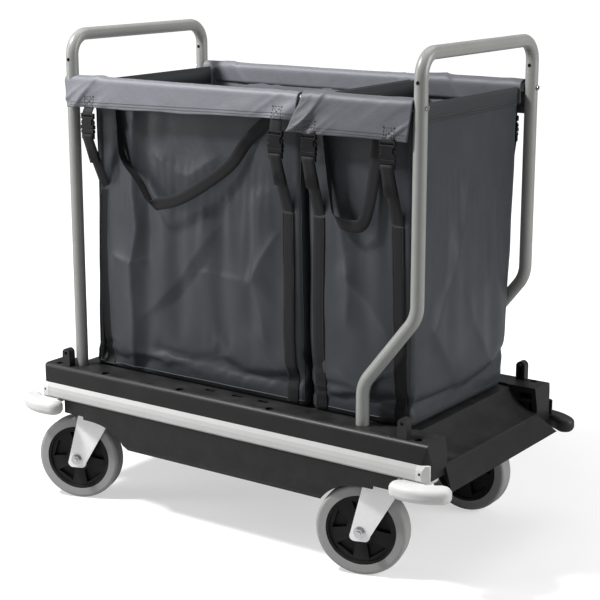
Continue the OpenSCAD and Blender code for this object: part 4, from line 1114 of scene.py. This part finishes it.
def make_buckles(bag):
    """Side-release buckles: a socket with side windows on the tab, and the clip on the long strap."""
    sockets, clips = bmesh.new(), bmesh.new()
    w, h = BUCKLE_W / 2, BUCKLE_H
    for side, x, _, _ in bag.strap_lines:
        top = Vector((x, side * bag.buckle_y, bag.buckle_top))
        body = [
            (-w + 2 * MM, -8 * MM), (w - 2 * MM, -8 * MM), (w, -11 * MM), (w - 5 * MM, -14 * MM),
            (w - 5 * MM, -25 * MM), (w, -27 * MM), (w, -h + 1 * MM), (w - 3 * MM, -h),
            (-w + 3 * MM, -h), (-w, -h + 1 * MM), (-w, -27 * MM), (-w + 5 * MM, -25 * MM),
            (-w + 5 * MM, -14 * MM), (-w, -11 * MM),
        ]
        plate(sockets, body, BUCKLE_D, top, side)
        bar = [(-w, 0), (w, 0), (w, -4 * MM), (-w, -4 * MM)]
        plate(sockets, bar, BUCKLE_D * 0.6, top, side)
        for edge in (-1, 1):
            near = edge * (w - 4 * MM)
            post = [(edge * w, 0), (near, 0), (near, -10 * MM), (edge * w, -10 * MM)]
            plate(sockets, post, BUCKLE_D * 0.7, top, side)
            prong = [
                (edge * (w - 5.5 * MM), -13 * MM), (edge * (w - 1 * MM), -16 * MM),
                (edge * (w + 1 * MM), -21 * MM), (edge * (w - 1 * MM), -26 * MM),
                (edge * (w - 5.5 * MM), -27 * MM),
            ]
            plate(clips, prong, BUCKLE_D * 0.55, top, side)
        base = [
            (-w + 1 * MM, -h - 0.6 * MM), (w - 1 * MM, -h - 0.6 * MM), (w, -h - 7 * MM),
            (w - 2 * MM, -h - 9 * MM), (-w + 2 * MM, -h - 9 * MM), (-w, -h - 7 * MM),
        ]
        plate(clips, base, BUCKLE_D * 0.9, top, side)
        for drop in (12.5, 18.0):
            rung = [
                (-w + 1 * MM, -h - drop * MM), (w - 1 * MM, -h - drop * MM),
                (w - 1 * MM, -h - (drop + 3.2) * MM), (-w + 1 * MM, -h - (drop + 3.2) * MM),
            ]
            plate(clips, rung, BUCKLE_D * 0.7, top, side)
        for edge in (-1, 1):
            rail = [
                (edge * (w - 1 * MM), -h - 8 * MM), (edge * (w - 4 * MM), -h - 8 * MM),
                (edge * (w - 4 * MM), -h - 21 * MM), (edge * (w - 1 * MM), -h - 21 * MM),
            ]
            plate(clips, rail, BUCKLE_D * 0.6, top, side)
    for bm, word in ((sockets, "buckles"), (clips, "clips")):
        mesh = bevelled(bm, f"{bag.name}_bag_{word}_moulded", 0.8 * MM)
        piece = add_piece(f"{bag.name}_bag_{word}_moulded", mesh, BUCKLE, bag.body)
        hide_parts(f"{bag.name}_bag_{word}")


def make_carry_handles(bag, route, turns):
    """Slack webbing loop on each long side.

    route is (x, z, distance off the wall), and turns how far the band is edge-on at each, in degrees.
    """
    bm = bmesh.new()
    for side in (FRONT, REAR):
        points = []
        for x, z, off in route:
            wall = on_wall(bag, x, min(z, RAIL_Z - 30 * MM), side)[0]
            points.append(Vector((x, wall.y + side * off, z)))
        curve = spline(points, 150)
        twist = np.interp(np.linspace(0, len(route) - 1, 150), range(len(route)), turns)
        way = np.gradient(curve, axis=0)
        way /= np.linalg.norm(way, axis=1)[:, None]
        flat = np.cross(way, np.array([0, float(side), 0]))
        flat /= np.linalg.norm(flat, axis=1)[:, None]
        edge = np.cross(way, flat)
        angle = np.radians(twist)[:, None]
        ribbon_into(bm, curve, flat * np.cos(angle) + edge * np.sin(angle), CARRY_W, WEB_T)
    mesh = finish_bmesh(bm, "carry")
    piece = add_piece(f"{bag.name}_bag_carry_handles", mesh, WEBBING, bag.body)
    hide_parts(f"{bag.name}_bag_handles")


# ---- hems, piping and stitches ----


def make_end_hem(bag, side):
    """The doubled band round the top of an end wall."""
    ys = np.linspace(-IN_Y + CORNER_R, IN_Y - CORNER_R, 60)
    levels = [(-HEM_H, 0.3), (-HEM_H, 1.6), (-HEM_H * 0.6, 1.7), (-HEM_H * 0.2, 1.7), (1.5 * MM, 1.5)]
    over = [(2.5 * MM, 0.0), (1.5 * MM, -2.6), (-HEM_H * 0.5, -2.8), (-HEM_H, -2.8), (-HEM_H, -1.4)]
    points = np.zeros((len(ys), len(levels) + len(over), 3))
    for i, y in enumerate(ys):
        for j, (dz, lift) in enumerate(levels + over):
            z = min(RAIL_Z + dz, RAIL_Z - 1 * MM)
            hit = on_end(bag, y, z, side)[0]
            spot = hit + Vector((side, 0, 0)) * lift * MM
            points[i, j] = (spot.x, spot.y, RAIL_Z + dz)
    if side > 0:
        points = points[::-1]
    mesh = grid_mesh("hem", points[:, ::-1], grid_uv(points))
    word = "right" if side > 0 else "left"
    piece = add_piece(f"{bag.name}_bag_hem_{word}", mesh, HEM, bag.body)
    bm = bmesh.new()
    bm.from_mesh(mesh)
    bmesh.ops.recalc_face_normals(bm, faces=bm.faces)
    bm.to_mesh(mesh)
    bm.free()
    return piece


def line_tree(name):
    """A Geometry Nodes tree with a Geometry input and output."""
    tree = bpy.data.node_groups.new(name, "GeometryNodeTree")
    tree.interface.new_socket("Geometry", in_out="INPUT", socket_type="NodeSocketGeometry")
    tree.interface.new_socket("Geometry", in_out="OUTPUT", socket_type="NodeSocketGeometry")
    return tree, tree.nodes.new("NodeGroupInput"), tree.nodes.new("NodeGroupOutput")


def named_input(tree, name, kind, value):
    socket = tree.interface.new_socket(name, in_out="INPUT", socket_type=f"NodeSocket{kind}")
    if value is not None:
        socket.default_value = value
    return socket.identifier


def painted(tree, into, out, made):
    """Ends a tree: makes what it laid out real and gives it the tree's material."""
    real = put(tree, "GeometryNodeRealizeInstances", Geometry=made.outputs[0])
    material = into.outputs["Material"]
    coat = put(tree, "GeometryNodeSetMaterial", Geometry=real.outputs[0], Material=material)
    tree.links.new(coat.outputs[0], out.inputs[0])
    return tree


def make_stitch_tree():
    """Stitches laid end to end along the lines of a mesh."""
    tree, into, out = line_tree("stitches")
    for name, value in (("Spacing", STITCH_GAP), ("Length", STITCH), ("Radius", STITCH_R)):
        named_input(tree, name, "Float", value)
    named_input(tree, "Material", "Material", None)
    curve = put(tree, "GeometryNodeMeshToCurve", _0=into.outputs["Geometry"])
    even = put(
        tree, "GeometryNodeResampleCurve", {"mode": "LENGTH"}, Curve=curve.outputs[0],
        Length=into.outputs["Spacing"],
    )
    thread = put(
        tree, "GeometryNodeMeshCylinder", Vertices=6, Side_Segments=1, Radius=into.outputs["Radius"],
        Depth=into.outputs["Length"],
    )
    way = put(tree, "GeometryNodeInputTangent").outputs[0]
    turn = put(tree, "FunctionNodeAlignRotationToVector", {"axis": "Z"}, Vector=way)
    laid = put(
        tree, "GeometryNodeInstanceOnPoints", Points=even.outputs[0], Instance=thread.outputs[0],
        Rotation=turn.outputs[0],
    )
    return painted(tree, into, out, laid)


def make_piping_tree():
    """A round cord along the lines of a mesh."""
    tree, into, out = line_tree("piping")
    named_input(tree, "Radius", "Float", 1.6 * MM)
    named_input(tree, "Material", "Material", None)
    curve = put(tree, "GeometryNodeMeshToCurve", _0=into.outputs["Geometry"])
    ring = put(tree, "GeometryNodeCurvePrimitiveCircle", Resolution=8, Radius=into.outputs["Radius"])
    cord = put(tree, "GeometryNodeCurveToMesh", Curve=curve.outputs[0], _1=ring.outputs[0])
    cord.inputs["Fill Caps"].default_value = True
    return painted(tree, into, out, cord)


STITCHES, PIPING = make_stitch_tree(), make_piping_tree()


def follow_lines(name, lines, tree, material, body):
    """Runs a line tree over polylines and keeps the result as a plain mesh."""
    verts, edges = [], []
    for line in lines:
        start = len(verts)
        verts += [tuple(p) for p in line]
        edges += [(start + i, start + i + 1) for i in range(len(line) - 1)]
    mesh = bpy.data.meshes.new(name)
    mesh.from_pydata(verts, edges, [])
    piece = bpy.data.objects.new(name, mesh)
    bpy.context.scene.collection.objects.link(piece)
    layout = piece.modifiers.new("layout", "NODES")
    layout.node_group = tree
    for item in tree.interface.items_tree:
        if item.in_out == "INPUT" and item.name == "Material":
            layout[item.identifier] = material
    bpy.context.view_layer.update()
    bake_modifiers(piece)
    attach(piece, body)
    return piece


def sew(bag):
    """Every stitch line and piping cord of a bag."""
    lines = []
    for side in (FRONT, REAR):
        cuff = bag.cuff[side]
        for up in (6 * MM, 12 * MM):
            xs = np.linspace(cuff.x_low + 12 * MM, cuff.x_high - 12 * MM, 150)
            lines.append([on_cuff(bag, x, cuff.edge(x) + up, side, SEAM_LIFT)[0] for x in xs])
    for side, x, lean, clip_z in bag.strap_lines:
        edge = bag.cuff[side].edge(x)
        half, low, high = WEB_W / 2 - 3 * MM, edge + 4 * MM, edge + TAB_H - 3 * MM
        corners = [(-half, low), (half, low), (half, high), (-half, high), (-half, low), (half, high)]
        for pair in list(zip(corners, corners[1:])) + [((half, low), (-half, high))]:
            (u0, z0), (u1, z1) = pair
            shares = np.linspace(0, 1, 7)
            spots = [(x + u0 + (u1 - u0) * t, z0 + (z1 - z0) * t) for t in shares]
            lines.append([on_cuff(bag, *spot, side, SEAM_LIFT)[0] for spot in spots])
        for shift in (-half, half):
            path = []
            for z in np.linspace(clip_z - STRAP_REACH - 10 * MM, bag.floor + 16 * MM, 60):
                path.append(on_wall(bag, x + drift(lean, clip_z - z) + shift, z, side, 2.5 * MM)[0])
            lines.append(path)
    for side in (-1, 1):
        ys = np.linspace(-IN_Y + 24 * MM, IN_Y - 24 * MM, 60)
        for dz in (HEM_H - 4 * MM, HEM_H - 9 * MM):
            lines.append([on_end(bag, y, RAIL_Z - dz, side, 2.2 * MM)[0] for y in ys])
    follow_lines(f"{bag.name}_bag_stitches", lines, STITCHES, THREAD_BLACK, bag.body)
    cords = []
    for sx in (-1, 1):
        for sy in (FRONT, REAR):
            path = []
            for z in np.linspace(bag.floor + 14 * MM, RAIL_Z - 12 * MM, 70):
                left, right, half = bag.sides(z)
                x = right - 5 * MM if sx > 0 else left + 5 * MM
                path.append(bag.surface.find_nearest(Vector((x + sx * 4 * MM, sy * half, z)))[0])
            cords.append(path)
    low = bag.floor + 14 * MM
    plan, out = bag.outline(low, 180)
    ring = [bag.surface.find_nearest(Vector((*(p + o * 3 * MM), low)))[0] for p, o in zip(plan, out)]
    cords.append(ring + [ring[0]])
    follow_lines(f"{bag.name}_bag_piping", cords, PIPING, HEM, bag.body)


for bag in (large, small):
    bag.cuffs, bag.strap_lines = {}, []
    make_walls(bag)

large.cuff = {
    FRONT: Cuff(
        large.x0 - 13 * MM, large.x1 + 6 * MM, 0.6 * MM, (56 * MM, 42 * MM), 2.0, slant=-15 * MM, wrap=0.5
    ),
    REAR: Cuff(large.x0 - 1 * MM, large.x1 + 4 * MM, 0.6 * MM, (52 * MM, 52 * MM), 11.0),
}
small.cuff = {
    FRONT: Cuff(small.x0 - 18 * MM, small.x1 + 6 * MM, 4.2 * MM, (66 * MM, 66 * MM), 5.0, 30 * MM, 8 * MM),
    REAR: Cuff(small.x0 - 14 * MM, small.x1 - 1 * MM, 4.2 * MM, (60 * MM, 60 * MM), 15.0, 16 * MM),
}
for bag in (large, small):
    for side in (FRONT, REAR):
        make_cuff(bag, side, bag.cuff[side])

for bag in (large, small):
    for side in (-1, 1):
        make_end_hem(bag, side)
    make_straps(bag)
    make_buckles(bag)
    sew(bag)

make_carry_handles(
    large,
    [(-0.322, 0.945, 0.004), (-0.312, 0.900, 0.008), (-0.293, 0.831, 0.014), (-0.252, 0.780, 0.020),
     (-0.217, 0.742, 0.026), (-0.205, 0.731, 0.028), (-0.185, 0.736, 0.028), (-0.128, 0.752, 0.026),
     (-0.060, 0.790, 0.022), (0.006, 0.838, 0.016), (0.045, 0.888, 0.010), (0.085, 0.925, 0.006),
     (0.112, 0.945, 0.004)],
    [55, 70, 82, 84, 82, 45, 5, 0, 4, 8, 25, 15, 10],
)
make_carry_handles(
    small,
    [(0.235, 0.940, 0.005), (0.246, 0.890, 0.008), (0.262, 0.823, 0.014), (0.273, 0.765, 0.020),
     (0.290, 0.746, 0.024), (0.318, 0.740, 0.024), (0.344, 0.750, 0.022), (0.358, 0.800, 0.016),
     (0.366, 0.860, 0.010), (0.374, 0.940, 0.005)],
    [60, 68, 72, 60, 25, 8, 8, 4, 5, 5],
)
